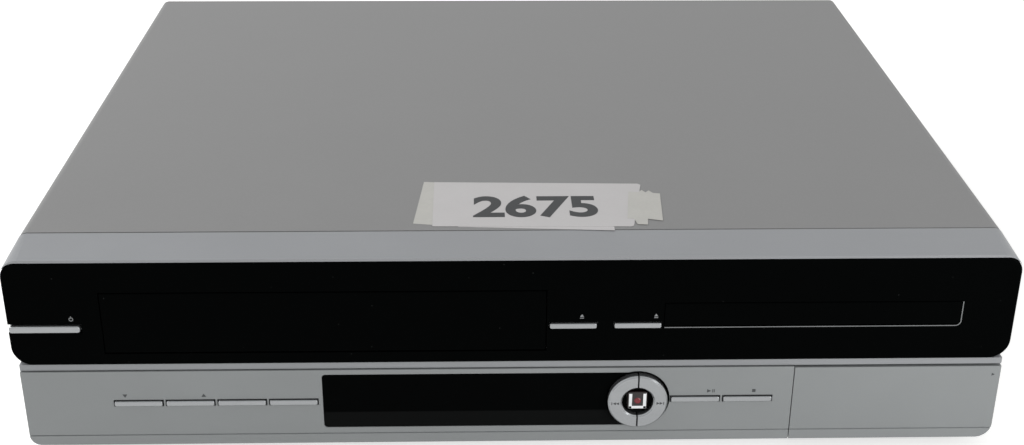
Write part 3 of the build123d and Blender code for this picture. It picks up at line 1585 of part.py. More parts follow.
with BuildPart() as fan_rotor:
    rotor_span = (fan_front + 2.5, pan_back - 2)
    spigot(fan_x, fan_height, rotor_span, fan_hub)
    for blade in range(7):
        turn = 2 * pi * blade / 7
        outward = (cos(turn), 0, sin(turn))
        root = (
            fan_x + (fan_hub - 1) * cos(turn),
            front + (rotor_span[0] + rotor_span[1]) / 2,
            base + fan_height + (fan_hub - 1) * sin(turn),
        )
        with BuildSketch(Plane(origin=root, x_dir=(0, 1, 0), z_dir=outward)):
            Rectangle(10, 1.2, rotation=38)
        extrude(amount=fan_bore - 1 - fan_hub)
    spigot(fan_x, fan_height, (fan_front, pan_back - 3.5), 1.5 + running, Mode.SUBTRACT)
hand_over(fan_rotor, "fan_rotor")
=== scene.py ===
import math

import bmesh
import bpy
from mathutils import Matrix, Vector


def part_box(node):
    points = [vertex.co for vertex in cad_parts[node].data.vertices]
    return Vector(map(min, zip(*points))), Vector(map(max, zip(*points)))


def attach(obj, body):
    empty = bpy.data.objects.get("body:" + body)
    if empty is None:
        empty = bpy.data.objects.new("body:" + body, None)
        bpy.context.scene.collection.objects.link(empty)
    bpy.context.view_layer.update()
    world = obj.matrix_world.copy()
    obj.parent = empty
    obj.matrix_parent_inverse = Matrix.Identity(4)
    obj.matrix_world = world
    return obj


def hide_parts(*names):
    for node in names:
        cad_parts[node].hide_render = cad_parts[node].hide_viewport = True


bl_info = {
    "name": "Disc and Cassette Player Finishes",
    "version": (1, 0, 0),
    "blender": (4, 5, 0),
    "location": "3D View > Sidebar > Player",
    "description": "Finishes, marks and small fittings for a combined disc and cassette player",
    "category": "Object",
}

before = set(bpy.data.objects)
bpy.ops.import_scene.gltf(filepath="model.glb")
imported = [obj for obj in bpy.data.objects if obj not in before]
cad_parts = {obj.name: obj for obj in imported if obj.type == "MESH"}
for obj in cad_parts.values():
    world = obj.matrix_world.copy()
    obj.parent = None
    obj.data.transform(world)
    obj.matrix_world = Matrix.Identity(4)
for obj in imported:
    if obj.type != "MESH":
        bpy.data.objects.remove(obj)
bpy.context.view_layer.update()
MM = 0.001
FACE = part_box("gloss_panel")[0][1]
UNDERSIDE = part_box("chassis_pan")[0][2]
COVER_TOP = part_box("top_cover")[1][2]

# places on the case in mm: across, behind the face, over the case's underside
RING_X = 54.5
RING_FACE = -3.0
KEY_ROW = 21.6
RECORD_FACE = -1.4
TRAY_X = 129.15
WELL_DEPTH = 70.0
REAR_FACE = 356.7
COVER_BACK = 357.5
COVER_SIDE = 215.0
SCREW_HEAD = 1.5
SCREW_DEPTHS = (62.5, 316.7)
SCREW_HEIGHT = 11.0
REAR_SCREW_XS = (-172.0, 0.0, 172.0)
REAR_SCREW_HEIGHT = 89.3
RECESS_REACH = 1.7
RECESS_HALF = 0.3
RECESS_DEPTH = 0.3
RECESS_PROUD = 0.02
FOOT_XS = (-170.0, 170.0)
FOOT_DEPTHS = (52.5, 311.7)
WIDE_SOCKET_X = 66.0
WIDE_SOCKET_HEIGHTS = (27.0, 52.0)
CONTACT_PITCH = 3.2
CONTACT_THICK = 0.12
PHONO_X = 142.0
PHONO_HEIGHT = 39.0
PHONO_PITCH = 14.0
PHONO_RISE = 15.0
INLET_HEIGHT = 24.0
INLET_PIN_XS = (-190.0, -182.0)
INLET_PIN_DEPTHS = (346.5, 356.0)
FRAME_LINE = 0.4
REEL_MIDDLE = -81.85
REEL_OFFSET = 46.0
REEL_DEPTH = 135.95
PIVOT_DEPTH = 165.0
PIVOT_HEIGHT = 54.0
TRAVERSE_DROP = 11.5
TRAVERSE_REACH = 95.0
STANDBY_X = -190.0
EJECT_X = 28.9
OPEN_X = 61.0
GLOSS_MARK_HEIGHT = 64.1
STROKE = 0.35
DIGITS_WIDE = 56.0
FOOT_PROFILE = (
    (0.0, -0.01), (16.9, -0.01), (16.4, -2.0), (15.6, -5.6), (14.9, -6.0), (10.4, -6.0),
    (9.8, -5.6), (9.4, -3.6), (0.0, -3.4)
)
CAMERA_PLACE = (-0.0166, -0.7410, 0.3836)
CREASE = math.radians(33)


def linear(code):
    """An sRGB hex colour turned to linear values."""
    values = [int(code[place : place + 2], 16) / 255 for place in (0, 2, 4)]
    return [
        value / 12.92 if value <= 0.04045 else ((value + 0.055) / 1.055) ** 2.4
        for value in values
    ]


def colour_setting(name, description, code):
    """A colour property with its default given as sRGB hex."""
    return bpy.props.FloatVectorProperty(
        name=name,
        description=description,
        subtype="COLOR",
        size=3,
        min=0.0,
        max=1.0,
        default=linear(code),
    )


def length_setting(name, description, millimetres):
    """A length property with its default given in millimetres."""
    return bpy.props.FloatProperty(
        name=name,
        description=description,
        default=millimetres * MM,
        unit="LENGTH",
        subtype="DISTANCE",
        min=0.0,
    )


class PlayerFinishSettings(bpy.types.PropertyGroup):
    """Colours of the case and the front."""

    cover: colour_setting("Cover", "Enamel of the folded steel cover", "808080")
    silver: colour_setting("Silver front", "Metallic lacquer on the moulded front", "888b8c")
    # a lighter copy of the silver front's lacquer: its extra lightness is painted light on the
    # sloped cap
    band: colour_setting("Band", "Metallic lacquer on the cap and the band", "8f9194")
    gloss: colour_setting("Gloss panel", "High-gloss black moulding", "030404")
    window: colour_setting("Display window", "Smoked window over the display", "050606")
    key: colour_setting("Keys", "Bright satin plating of the keys", "96989a")
    steel: colour_setting("Steel", "Zinc-plated sheet and turned steel", "a9abad")
    moulding: colour_setting("Inner mouldings", "Black moulded plastic", "1d1e1f")


class PlayerLabelSettings(bpy.types.PropertyGroup):
    """The paper slip taped on the cover."""

    digits: bpy.props.StringProperty(
        name="Digits", description="Plain lot number on the slip", default="2675"
    )
    digit_height: length_setting("Digit height", "Height of the printed digits", 23.0)
    paper_thickness: length_setting("Paper", "Thickness of the paper slip", 0.12)
    paper: colour_setting("Paper colour", "White office paper", "c2c0c0")
    ink: colour_setting("Ink", "Printer black", "26282a")


class PlayerMarkSettings(bpy.types.PropertyGroup):
    """Printed symbols beside the keys."""

    height: length_setting("Symbol height", "Height of the printed symbols", 1.8)
    film: length_setting("Ink film", "Thickness of the print", 0.04)
    light: colour_setting("Light print", "Print on the black panel", "8e9092")
    dark: colour_setting("Dark print", "Print on the silver panel", "3a3c3e")


class PlayerStageSettings(bpy.types.PropertyGroup):
    """Floor, lamps and camera."""

    lens: bpy.props.FloatProperty(
        name="Lens", description="Focal length on a 36 mm sensor", default=52.27, unit="CAMERA"
    )
    pitch: bpy.props.FloatProperty(
        name="Pitch", description="Camera's angle below level", default=math.radians(25.65),
        unit="ROTATION",
    )
    yaw: bpy.props.FloatProperty(
        name="Yaw", description="Camera's turn to the right", default=math.radians(1.54),
        unit="ROTATION",
    )
    roll: bpy.props.FloatProperty(
        name="Roll", description="Camera's lean", default=math.radians(0.35), unit="ROTATION"
    )
    floor: colour_setting("Floor", "Pale studio floor", "e4e4e2")


# ---------------------------------------------------------------- nodes and materials
def add_node(tree, kind, settings=None, values=None, links=None):
    """Adds a node with its settings, its socket values and its links."""
    made = tree.nodes.new(kind)
    for key, value in (settings or {}).items():
        setattr(made, key, value)
    for key, value in (values or {}).items():
        made.inputs[key].default_value = value
    for key, source in (links or {}).items():
        tree.links.new(source, made.inputs[key])
    return made


def start_material(name):
    """An empty node material with its shader and output."""
    material = bpy.data.materials.new(name)
    material.use_nodes = True
    tree = material.node_tree
    tree.nodes.clear()
    shader = add_node(tree, "ShaderNodeBsdfPrincipled")
    add_node(tree, "ShaderNodeOutputMaterial", links={"Surface": shader.outputs["BSDF"]})
    return material, tree, shader


def tone(colour, factor):
    """A colour made lighter or darker, with full alpha."""
    return [min(1.0, channel * factor) for channel in colour[:3]] + [1.0]


def make_surface(
    name,
    colour,
    drift_mm=40.0,
    drift=0.08,
    roughness=0.5,
    roughness_spread=0.05,
    grain_mm=0.6,
    grain_depth_mm=0.02,
    stretch=(1.0, 1.0, 1.0),
    metallic=0.0,
    specular=0.5,
    coat=0.0,
    specks=None,
):
    """A surface whose tone drifts slowly and whose grain has a real size."""
    material, tree, shader = start_material(name)
    place = add_node(tree, "ShaderNodeTexCoord").outputs["Object"]
    spread = add_node(
        tree, "ShaderNodeMapping", values={"Scale": stretch}, links={"Vector": place}
    ).outputs["Vector"]
    slow = add_node(
        tree,
        "ShaderNodeTexNoise",
        values={"Scale": 1000 / drift_mm, "Detail": 4.0, "Roughness": 0.6},
        links={"Vector": spread},
    ).outputs["Fac"]
    fine = add_node(
        tree,
        "ShaderNodeTexNoise",
        values={"Scale": 1000 / grain_mm, "Detail": 2.0},
        links={"Vector": spread},
    ).outputs["Fac"]
    both = add_node(
        tree,
        "ShaderNodeMix",
        settings={"data_type": "FLOAT"},
        values={"Factor": 0.35},
        links={"A": slow, "B": fine},
    ).outputs["Result"]
    ramp = add_node(tree, "ShaderNodeValToRGB", links={"Fac": both})
    ramp.color_ramp.elements[0].position = 0.3
    ramp.color_ramp.elements[0].color = tone(colour, 1 - drift)
    ramp.color_ramp.elements[1].position = 0.7
    ramp.color_ramp.elements[1].color = tone(colour, 1 + drift)
    tint = ramp.outputs["Color"]
    if specks:
        # dust and tiny scuffs: points of a cell pattern, far apart
        cells = add_node(
            tree,
            "ShaderNodeTexVoronoi",
            values={"Scale": 1000 / specks["apart_mm"], "Randomness": 1.0},
            links={"Vector": spread},
        ).outputs["Distance"]
        near = add_node(
            tree,
            "ShaderNodeMapRange",
            values={
                "From Min": 0.0, "From Max": specks["size"], "To Min": specks["amount"],
                "To Max": 0.0
            },
            links={"Value": cells},
        ).outputs["Result"]
        tint = add_node(
            tree,
            "ShaderNodeMix",
            settings={"data_type": "RGBA"},
            values={"B": linear(specks["colour"]) + [1.0]},
            links={"Factor": near, "A": tint},
        ).outputs["Result"]
    gloss = add_node(
        tree,
        "ShaderNodeMapRange",
        values={"To Min": roughness - roughness_spread, "To Max": roughness + roughness_spread},
        links={"Value": slow},
    ).outputs["Result"]
    relief = add_node(
        tree,
        "ShaderNodeBump",
        values={"Strength": 1.0, "Distance": grain_depth_mm * MM},
        links={"Height": fine},
    ).outputs["Normal"]
    tree.links.new(tint, shader.inputs["Base Color"])
    tree.links.new(gloss, shader.inputs["Roughness"])
    tree.links.new(relief, shader.inputs["Normal"])
    shader.inputs["Metallic"].default_value = metallic
    shader.inputs["Specular IOR Level"].default_value = specular
    shader.inputs["Coat Weight"].default_value = coat
    shader.inputs["Coat Roughness"].default_value = 0.08
    return material


def make_window(name, colour, band_top, band_code):
    """A smoked window with the display's darker glass over a slightly lighter lower band."""
    material = make_surface(
        name,
        colour,
        roughness=0.09,
        roughness_spread=0.03,
        grain_mm=3.0,
        grain_depth_mm=0.0005,
        specular=0.006,
        specks={"apart_mm": 9.0, "size": 0.02, "amount": 0.3, "colour": "50524f"},
    )
    tree = material.node_tree
    shader = next(item for item in tree.nodes if item.type == "BSDF_PRINCIPLED")
    before = shader.inputs["Base Color"].links[0].from_socket
    place = add_node(tree, "ShaderNodeTexCoord").outputs["Object"]
    height = add_node(tree, "ShaderNodeSeparateXYZ", links={"Vector": place}).outputs["Z"]
    edge = add_node(
        tree,
        "ShaderNodeMapRange",
        values={
            "From Min": band_top - 0.0008, "From Max": band_top, "To Min": 1.0, "To Max": 0.0
        },
        links={"Value": height},
    ).outputs["Result"]
    joined = add_node(
        tree,
        "ShaderNodeMix",
        settings={"data_type": "RGBA"},
        values={"B": linear(band_code) + [1.0]},
        links={"Factor": edge, "A": before},
    ).outputs["Result"]
    tree.links.new(joined, shader.inputs["Base Color"])
    return material


def make_board(name):
    """Glass-epoxy board: green resist over tracks 0.6 mm apart, drawn at 6 mm, and tinned pads."""
    material, tree, shader = start_material(name)
    place = add_node(tree, "ShaderNodeTexCoord").outputs["Object"]
    tracks = add_node(
        tree,
        "ShaderNodeTexBrick",
        settings={"offset": 0.37, "squash": 1.6, "squash_frequency": 3},
        values={
            "Scale": 1000 / 24.0,
            "Color1": linear("1d4a2a") + [1.0],
            "Color2": linear("24583a") + [1.0],
            "Mortar": linear("123620") + [1.0],
            "Mortar Size": 0.018,
        },
        links={"Vector": place},
    ).outputs["Color"]
    pads = add_node(
        tree, "ShaderNodeTexVoronoi", values={"Scale": 1000 / 7.0}, links={"Vector": place}
    ).outputs["Distance"]
    near = add_node(
        tree,
        "ShaderNodeMapRange",
        values={"From Min": 0.08, "From Max": 0.12, "To Min": 1.0, "To Max": 0.0},
        links={"Value": pads},
    ).outputs["Result"]
    tint = add_node(
        tree,
        "ShaderNodeMix",
        settings={"data_type": "RGBA"},
        values={"B": linear("a7a59a") + [1.0]},
        links={"Factor": near, "A": tracks},
    ).outputs["Result"]
    relief = add_node(
        tree,
        "ShaderNodeBump",
        values={"Distance": 0.05 * MM},
        links={"Height": near},
    ).outputs["Normal"]
    tree.links.new(tint, shader.inputs["Base Color"])
    tree.links.new(relief, shader.inputs["Normal"])
    shader.inputs["Roughness"].default_value = 0.35
    return material


def straight_rays(tree):
    """One for a ray from the camera, a reflection or clear glass, and nought for the rest."""
    rays = add_node(tree, "ShaderNodeLightPath").outputs
    first = add_node(
        tree, "ShaderNodeMath", settings={"operation": "MAXIMUM"},
        links={0: rays["Is Camera Ray"], 1: rays["Is Glossy Ray"]},
    ).outputs["Value"]
    return add_node(
        tree, "ShaderNodeMath", settings={"operation": "MAXIMUM"},
        links={0: first, 1: rays["Is Transmission Ray"]},
    ).outputs["Value"]


def dress(nodes, material):
    """Gives CAD nodes their material."""
    for name in nodes:
        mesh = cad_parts[name].data
        mesh.materials.clear()
        mesh.materials.append(material)


# ---------------------------------------------------------------- shapes
def at(x, depth, height):
    """A point given across, behind the face and over the case's underside, in mm."""
    return Vector((x * MM, FACE + depth * MM, UNDERSIDE + height * MM))


def slab(mesh, x, depth, height, bevel=0.0):
    """A box between two values each way, its edges rounded."""
    low = at(x[0], depth[0], height[0])
    high = at(x[1], depth[1], height[1])
    size = high - low
    matrix = Matrix.Translation((low + high) / 2) @ Matrix.Diagonal((*size, 1))
    made = bmesh.ops.create_cube(mesh, size=1.0, matrix=matrix)
    if bevel:
        edges = list({edge for vert in made["verts"] for edge in vert.link_edges})
        bmesh.ops.bevel(
            mesh, geom=edges, offset=bevel * MM, affect="EDGES", segments=2, profile=0.5,
            material=-1
        )


def rod(mesh, start, end, radius, end_radius=None, segments=32):
    """A closed cylinder or cone between two points."""
    line = end - start
    turn = line.to_track_quat("Z", "Y").to_matrix().to_4x4()
    matrix = Matrix.Translation((start + end) / 2) @ turn
    bmesh.ops.create_cone(
        mesh,
        cap_ends=True,
        segments=segments,
        radius1=radius * MM,
        radius2=(radius if end_radius is None else end_radius) * MM,
        depth=line.length,
        matrix=matrix,
    )


def collar(mesh, start, end, inner, outer, segments=40):
    """A washer or tube: its section is spun round the line between two points."""
    axis = (end - start).normalized()
    side = axis.orthogonal().normalized()
    corners = (
        start + side * inner * MM,
        start + side * outer * MM,
        end + side * outer * MM,
        end + side * inner * MM,
    )
    verts = [mesh.verts.new(corner) for corner in corners]
    edges = [mesh.edges.new((verts[place], verts[(place + 1) % 4])) for place in range(4)]
    bmesh.ops.spin(
        mesh,
        geom=verts + edges,
        cent=start,
        axis=axis,
        angle=math.tau,
        steps=segments,
        use_merge=True,
    )


def laid(pairs, height):
    """Points given across and behind the face, all at one height."""
    return [at(x, depth, height) for x, depth in pairs]


def plate(mesh, points, lift):
    """A flat shape through points, given a thickness along a vector."""
    verts = [mesh.verts.new(point) for point in points]
    face = mesh.faces.new(verts)
    raised = bmesh.ops.extrude_face_region(mesh, geom=[face])["geom"]
    bmesh.ops.translate(
        mesh, vec=lift, verts=[item for item in raised if isinstance(item, bmesh.types.BMVert)]
    )


def finish_piece(name, mesh, material, body):
    """Turns a bmesh into an object that rides on a body."""
    bmesh.ops.remove_doubles(mesh, verts=mesh.verts, dist=1e-7)
    bmesh.ops.recalc_face_normals(mesh, faces=mesh.faces)
    for face in mesh.faces:
        face.smooth = True
    for edge in mesh.edges:
        edge.smooth = len(edge.link_faces) == 2 and edge.calc_face_angle(0.0) < CREASE
    data = bpy.data.meshes.new(name)
    mesh.to_mesh(data)
    mesh.free()
    made = bpy.data.objects.new(name, data)
    bpy.context.scene.collection.objects.link(made)
    data.materials.append(material)
    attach(made, body)
    return made


# ---------------------------------------------------------------- operators
class PLAYER_OT_finishes(bpy.types.Operator):
    """Gives every solid of the player its finish"""

    bl_idname = "player.finishes"
    bl_label = "Case and mechanism finishes"

    def execute(self, context):
        tones = context.scene.player_finish
        # baked enamel on folded steel: fine orange peel, a few pale specks
        enamel = make_surface(
            "baked_grey_enamel",
            tones.cover,
            drift_mm=70,
            drift=0.05,
            roughness=0.46,
            grain_mm=0.9,
            grain_depth_mm=0.012,
            specular=0.4,
            specks={"apart_mm": 22.0, "size": 0.012, "amount": 0.35, "colour": "b8b9b8"},
        )
        dress(["top_cover"], enamel)
        # metallic lacquer on ABS: flake 0.2 mm, drawn at 0.5 mm so that it shows
        silver = make_surface(
            "silver_lacquered_abs",
            tones.silver,
            drift_mm=60,
            drift=0.05,
            roughness=0.38,
            grain_mm=0.5,
            grain_depth_mm=0.004,
            metallic=0.25,
            specular=0.5,
        )
        dress(["lower_panel", "front_flap"], silver)
        # the same lacquer on the cap and band, a little lighter: painted light, for the extra
        # light on the forward-sloping cap
        cap = make_surface(
            "silver_lacquer_lit_cap",
            tones.band,
            drift_mm=60,
            drift=0.05,
            roughness=0.36,
            grain_mm=0.5,
            grain_depth_mm=0.004,
            metallic=0.25,
            specular=0.5,
        )
        dress(["fascia_frame"], cap)
        # piano-black moulding: smooth and dark, its shine turned low as in the photo, and dust
        gloss = make_surface(
            "piano_black_moulding",
            tones.gloss,
            drift_mm=30,
            drift=0.1,
            roughness=0.07,
            roughness_spread=0.03,
            grain_mm=6.0,
            grain_depth_mm=0.0005,
            specular=0.008,
            specks={"apart_mm": 7.0, "size": 0.03, "amount": 0.6, "colour": "6c6e6c"},
        )
        dress(["gloss_panel", "cassette_door", "tray_bezel"], gloss)
        # smoked acrylic of the window: near black and smooth, with faint dust
        dress(
            ["display_window"],
            make_window("smoked_acrylic", tones.window, UNDERSIDE + 16.4 * MM, "131414"),
        )
        # satin chrome plating on the keys, brushed along them
        plating = make_surface(
            "satin_plated_keys",
            tones.key,
            drift_mm=10,
            drift=0.06,
            roughness=0.24,
            grain_mm=0.5,
            grain_depth_mm=0.003,
            stretch=(0.1, 1, 1),
            metallic=0.85,
        )
        dress([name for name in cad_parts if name.endswith("_button")], plating)
        # dark tinted acrylic of the record key: smooth, almost black red
        dress(
            ["record_button"],
            make_surface("dark_record_key", linear("17090a"), drift_mm=6, roughness=0.2)
        )
        # zinc-plated sheet: large soft spangle
        zinc = make_surface(
            "zinc_plated_sheet",
            tones.steel,
            drift_mm=14,
            drift=0.1,
            roughness=0.38,
            roughness_spread=0.08,
            grain_mm=1.2,
            grain_depth_mm=0.006,
            metallic=0.9,
        )
        dress(
            ["chassis_pan", "rear_panel", "drive_shell", "deck_chassis", "loading_slider"], zinc
        )
        dress(["cassette_carrier", "traverse_frame"], zinc)
        # ground steel shafts and cans: bright, with a fine even grain
        steel = make_surface(
            "ground_steel",
            linear("b4b6b8"),
            drift_mm=5,
            drift=0.06,
            roughness=0.25,
            grain_mm=0.5,
            grain_depth_mm=0.003,
            metallic=1.0,
        )
        dress(["guide_rods", "lead_screw", "spindle_motor", "tray_motor", "capstan"], steel)
        dress(["head_drum", "lower_drum", "tape_guides", "pickup_sled"], steel)
        dress(["aerial_sockets", "front_jacks", "case_screws"], steel)
        # black ABS as moulded: fine spark texture that breaks up the light
        black = make_surface(
            "black_moulded_abs",
            tones.moulding,
            drift_mm=25,
            drift=0.12,
            roughness=0.55,
            grain_mm=0.7,
            grain_depth_mm=0.02,
        )
        dress(["jack_panel", "loader_frame", "disc_tray", "key_switches", "fan_frame"], black)
        dress(["fan_rotor", "rear_sockets", "board_parts", "display_tube"], black)
        # natural acetal gears and hubs: waxy, slightly yellow
        acetal = make_surface(
            "natural_acetal",
            linear("cfccbf"),
            drift_mm=12,
            drift=0.06,
            roughness=0.42,
            grain_mm=0.8,
            grain_depth_mm=0.008,
        )
        dress(["tray_gear", "belt_pulley", "motor_pulley", "turntable", "clamp_puck"], acetal)
        dress(["supply_reel", "takeup_reel"], acetal)
        # dull moulded rubber: greyish bloom over a soft grain
        rubber = make_surface(
            "moulded_rubber",
            linear("191919"),
            drift_mm=9,
            drift=0.15,
            roughness=0.75,
            grain_mm=0.5,
            grain_depth_mm=0.03,
        )
        dress(["feet", "tray_belt", "pinch_roller"], rubber)
        dress(["circuit_boards", "front_boards"], make_board("green_glass_epoxy"))
        return {"FINISHED"}


class PLAYER_OT_taped_slip(bpy.types.Operator):
    """Makes the paper slip, its tape and its digits on the cover"""

    bl_idname = "player.taped_slip"
    bl_label = "Paper slip on the cover"

    def execute(self, context):
        values = context.scene.player_label
        thick = values.paper_thickness / MM
        surface = (COVER_TOP - UNDERSIDE) / MM
        # office paper: soft fibres, drawn at 1.5 mm
        paper = make_surface(
            "office_paper", values.paper, drift_mm=18, drift=0.03, roughness=0.8, grain_mm=1.5,
            grain_depth_mm=0.01
        )
        # crepe paper tape: creamy and finely wrinkled
        tape = make_surface(
            "paper_tape", linear("b9b8b3"), drift_mm=8, drift=0.05, roughness=0.55, grain_mm=1.2,
            grain_depth_mm=0.02
        )
        up = Vector((0, 0, values.paper_thickness))
        under = bmesh.new()
        plate(
            under,
            laid(((-24.5, 26.2), (43.9, 21.7), (44.1, 40), (-24.5, 40)), surface),
            up * 0.6,
        )
        finish_piece("label_under_slip", under, paper, "case")
        sheet = bmesh.new()
        low = surface + thick * 0.6
        plate(
            sheet,
            laid(
                (
                    (-35.7, 26.6), (51.8, 25.4), (52.8, 26.4), (59.9, 69.6), (58.6, 70.9),
                    (-35.9, 73.7)
                ),
                low,
            ),
            up,
        )
        finish_piece("label_sheet", sheet, paper, "case")
        strips = bmesh.new()
        plate(
            strips,
            laid(((-44.2, 29.7), (-32, 27.6), (-32, 73.2), (-40.7, 74.4)), surface),
            up * 0.5,
        )
        torn = (
            (50.5, 33.4), (53.4, 33.1), (54.5, 27.4), (58.9, 27.0), (59.6, 32.8), (66.0, 30.9),
            (67.9, 59.6), (64.6, 60.4), (63.0, 63.1), (61.4, 60.9), (59.8, 63.6), (58.0, 61.2),
            (53.6, 62.0)
        )
        plate(strips, laid(torn, surface + thick * 1.6), up * 0.6)
        finish_piece("label_tape", strips, tape, "case")
        # the digits, from a text that is made a mesh before it is laid down
        words = bpy.data.curves.new("label_digits", "FONT")
        words.body = values.digits
        words.size = 1.0
        words.extrude = 0.001
        words.offset = 0.032
        holder = bpy.data.objects.new("label_digits_text", words)
        flat = bpy.data.meshes.new_from_object(holder)
        bpy.data.objects.remove(holder)
        digits = bmesh.new()
        digits.from_mesh(flat)
        bpy.data.meshes.remove(flat)
        spans = [[vert.co[axis] for vert in digits.verts] for axis in (0, 1)]
        wide = max(spans[0]) - min(spans[0])
        tall = max(spans[1]) - min(spans[1])
        bmesh.ops.translate(
            digits, verts=digits.verts,
            vec=(-min(spans[0]) - wide / 2, -min(spans[1]) - tall / 2, 0)
        )
        bmesh.ops.scale(
            digits, verts=digits.verts,
            vec=(DIGITS_WIDE * MM / wide, values.digit_height / tall, 0.03)
        )
        bmesh.ops.translate(
            digits, verts=digits.verts, vec=at(10.1, 46.4, low + thick) + Vector((0, 0, 0.00003))
        )
        # laser toner: dull and a little uneven
        ink = make_surface(
            "printer_ink", values.ink, drift_mm=3, drift=0.15, roughness=0.6, grain_mm=0.8,
            grain_depth_mm=0.004
        )
        finish_piece("label_digits", digits, ink, "case")
        return {"FINISHED"}


class PLAYER_OT_key_marks(bpy.types.Operator):
    """Prints the plain symbols beside the keys"""

    bl_idname = "player.key_marks"
    bl_label = "Key symbols"

    def execute(self, context):
        values = context.scene.player_mark
        size = values.height / MM
        film = Vector((0, -values.film, 0))

        def triangle(mesh, x, height, way, depth, scale=1.0):
            """A filled triangle that points left, right, up or down."""
            reach = size * scale
            corners = {
                "right": ((-0.5, -0.5), (0.5, 0), (-0.5, 0.5)),
                "left": ((0.5, -0.5), (-0.5, 0), (0.5, 0.5)),
                "up": ((-0.6, -0.4), (0.6, -0.4), (0, 0.5)),
                "down": ((-0.6, 0.4), (0.6, 0.4), (0, -0.5)),
            }[way]
            plate(
                mesh,
                [at(x + side * reach, depth, height + rise * reach) for side, rise in corners],
                film,
            )

        def bar(mesh, x, height, wide, tall, depth):
            """A filled upright or level bar."""
            corners = (
                (-wide / 2, -tall / 2), (wide / 2, -tall / 2), (wide / 2, tall / 2),
                (-wide / 2, tall / 2)
            )
            plate(mesh, [at(x + side, depth, height + rise) for side, rise in corners], film)

        # pad-printed ink: dull, dark on silver and light on black
        dark_print = make_surface(
            "dark_pad_print", values.dark, drift_mm=4, drift=0.1, roughness=0.55, grain_mm=0.8,
            grain_depth_mm=0.003
        )
        light_print = make_surface(
            "light_pad_print", values.light, drift_mm=4, drift=0.1, roughness=0.55, grain_mm=0.8,
            grain_depth_mm=0.003
        )
        # on the silver panel
        dark = bmesh.new()
        triangle(dark, -171.1, 25.4, "down", 0)
        triangle(dark, -136.7, 25.3, "up", 0)
        triangle(dark, 86.3, 25.5, "right", 0)
        bar(dark, 87.9, 25.5, STROKE, size * 0.9, 0)
        bar(dark, 88.6, 25.5, STROKE, size * 0.9, 0)
        bar(dark, 106.2, 25.5, size * 0.85, size * 0.85, 0)
        finish_piece("panel_symbols", dark, dark_print, "case")
        flap = bmesh.new()
        triangle(flap, 212.2, 32.9, "right", 0, 0.8)
        finish_piece("flap_symbol", flap, dark_print, "front_flap")
        # on the seek ring, on its own two halves
        for side, body in ((-1, "seek_back_button"), (1, "seek_forward_button")):
            ring = bmesh.new()
            way = "left" if side < 0 else "right"
            for step in (-0.9, 0.5):
                triangle(ring, RING_X + side * (9.9 + step), 21.1, way, RING_FACE, 0.8)
            bar(ring, RING_X + side * 11.5, 21.1, STROKE, 1.5, RING_FACE)
            bmesh.ops.translate(ring, verts=ring.verts, vec=(0, values.film * 0.9, 0))
            finish_piece(
                body.replace("button", "symbol"), ring, dark_print, body
            )
        # on the black panel: eject, open and the standby sign
        light = bmesh.new()
        for x in (EJECT_X, OPEN_X):
            triangle(light, x, GLOSS_MARK_HEIGHT, "up", 0, 0.8)
            bar(light, x, 62.9, size * 0.95, STROKE, 0)
        collar(
            light, at(STANDBY_X, 0, 64.0), at(STANDBY_X, -values.film / MM, 64.0), 0.65, 0.95, 24
        )
        bar(light, STANDBY_X, 64.9, 0.3, 1.1, 0)
        finish_piece("gloss_panel_symbols", light, light_print, "case")
        return {"FINISHED"}


class PLAYER_OT_record_key(bpy.types.Operator):
    """Sets the plated frame and the red lamp into the record key"""

    bl_idname = "player.record_key"
    bl_label = "Record key fittings"

    def execute(self, context):
        # bright chrome over ABS: mirror with a faint orange peel
        chrome = make_surface(
            "bright_chrome", linear("d4d6d8"), drift_mm=5, drift=0.04, roughness=0.12,
            grain_mm=2.0, grain_depth_mm=0.001, metallic=1.0
        )
        rim = bmesh.new()
        for x, height in (
            ((50.6, 52.1), (17.7, 25.5)), ((56.9, 58.4), (17.7, 25.5)),
            ((50.6, 58.4), (17.7, 19.2))
        ):
            slab(rim, x, (RECORD_FACE - 0.45, RECORD_FACE + 0.1), height, 0.25)
        finish_piece("record_key_frame", rim, chrome, "record_button")
        lamp = bmesh.new()
        middle = at(RING_X, RECORD_FACE, KEY_ROW)
        rod(lamp, middle, at(RING_X, RECORD_FACE - 0.3, KEY_ROW), 1.5, 1.1)
        # red acrylic lens over the lamp: deep colour under gloss
        red = make_surface(
            "red_lens", linear("7d1420"), drift_mm=2, drift=0.2, roughness=0.15, grain_mm=1.0,
            grain_depth_mm=0.004
        )
        finish_piece("record_key_lamp", lamp, red, "record_button")
        return {"FINISHED"}


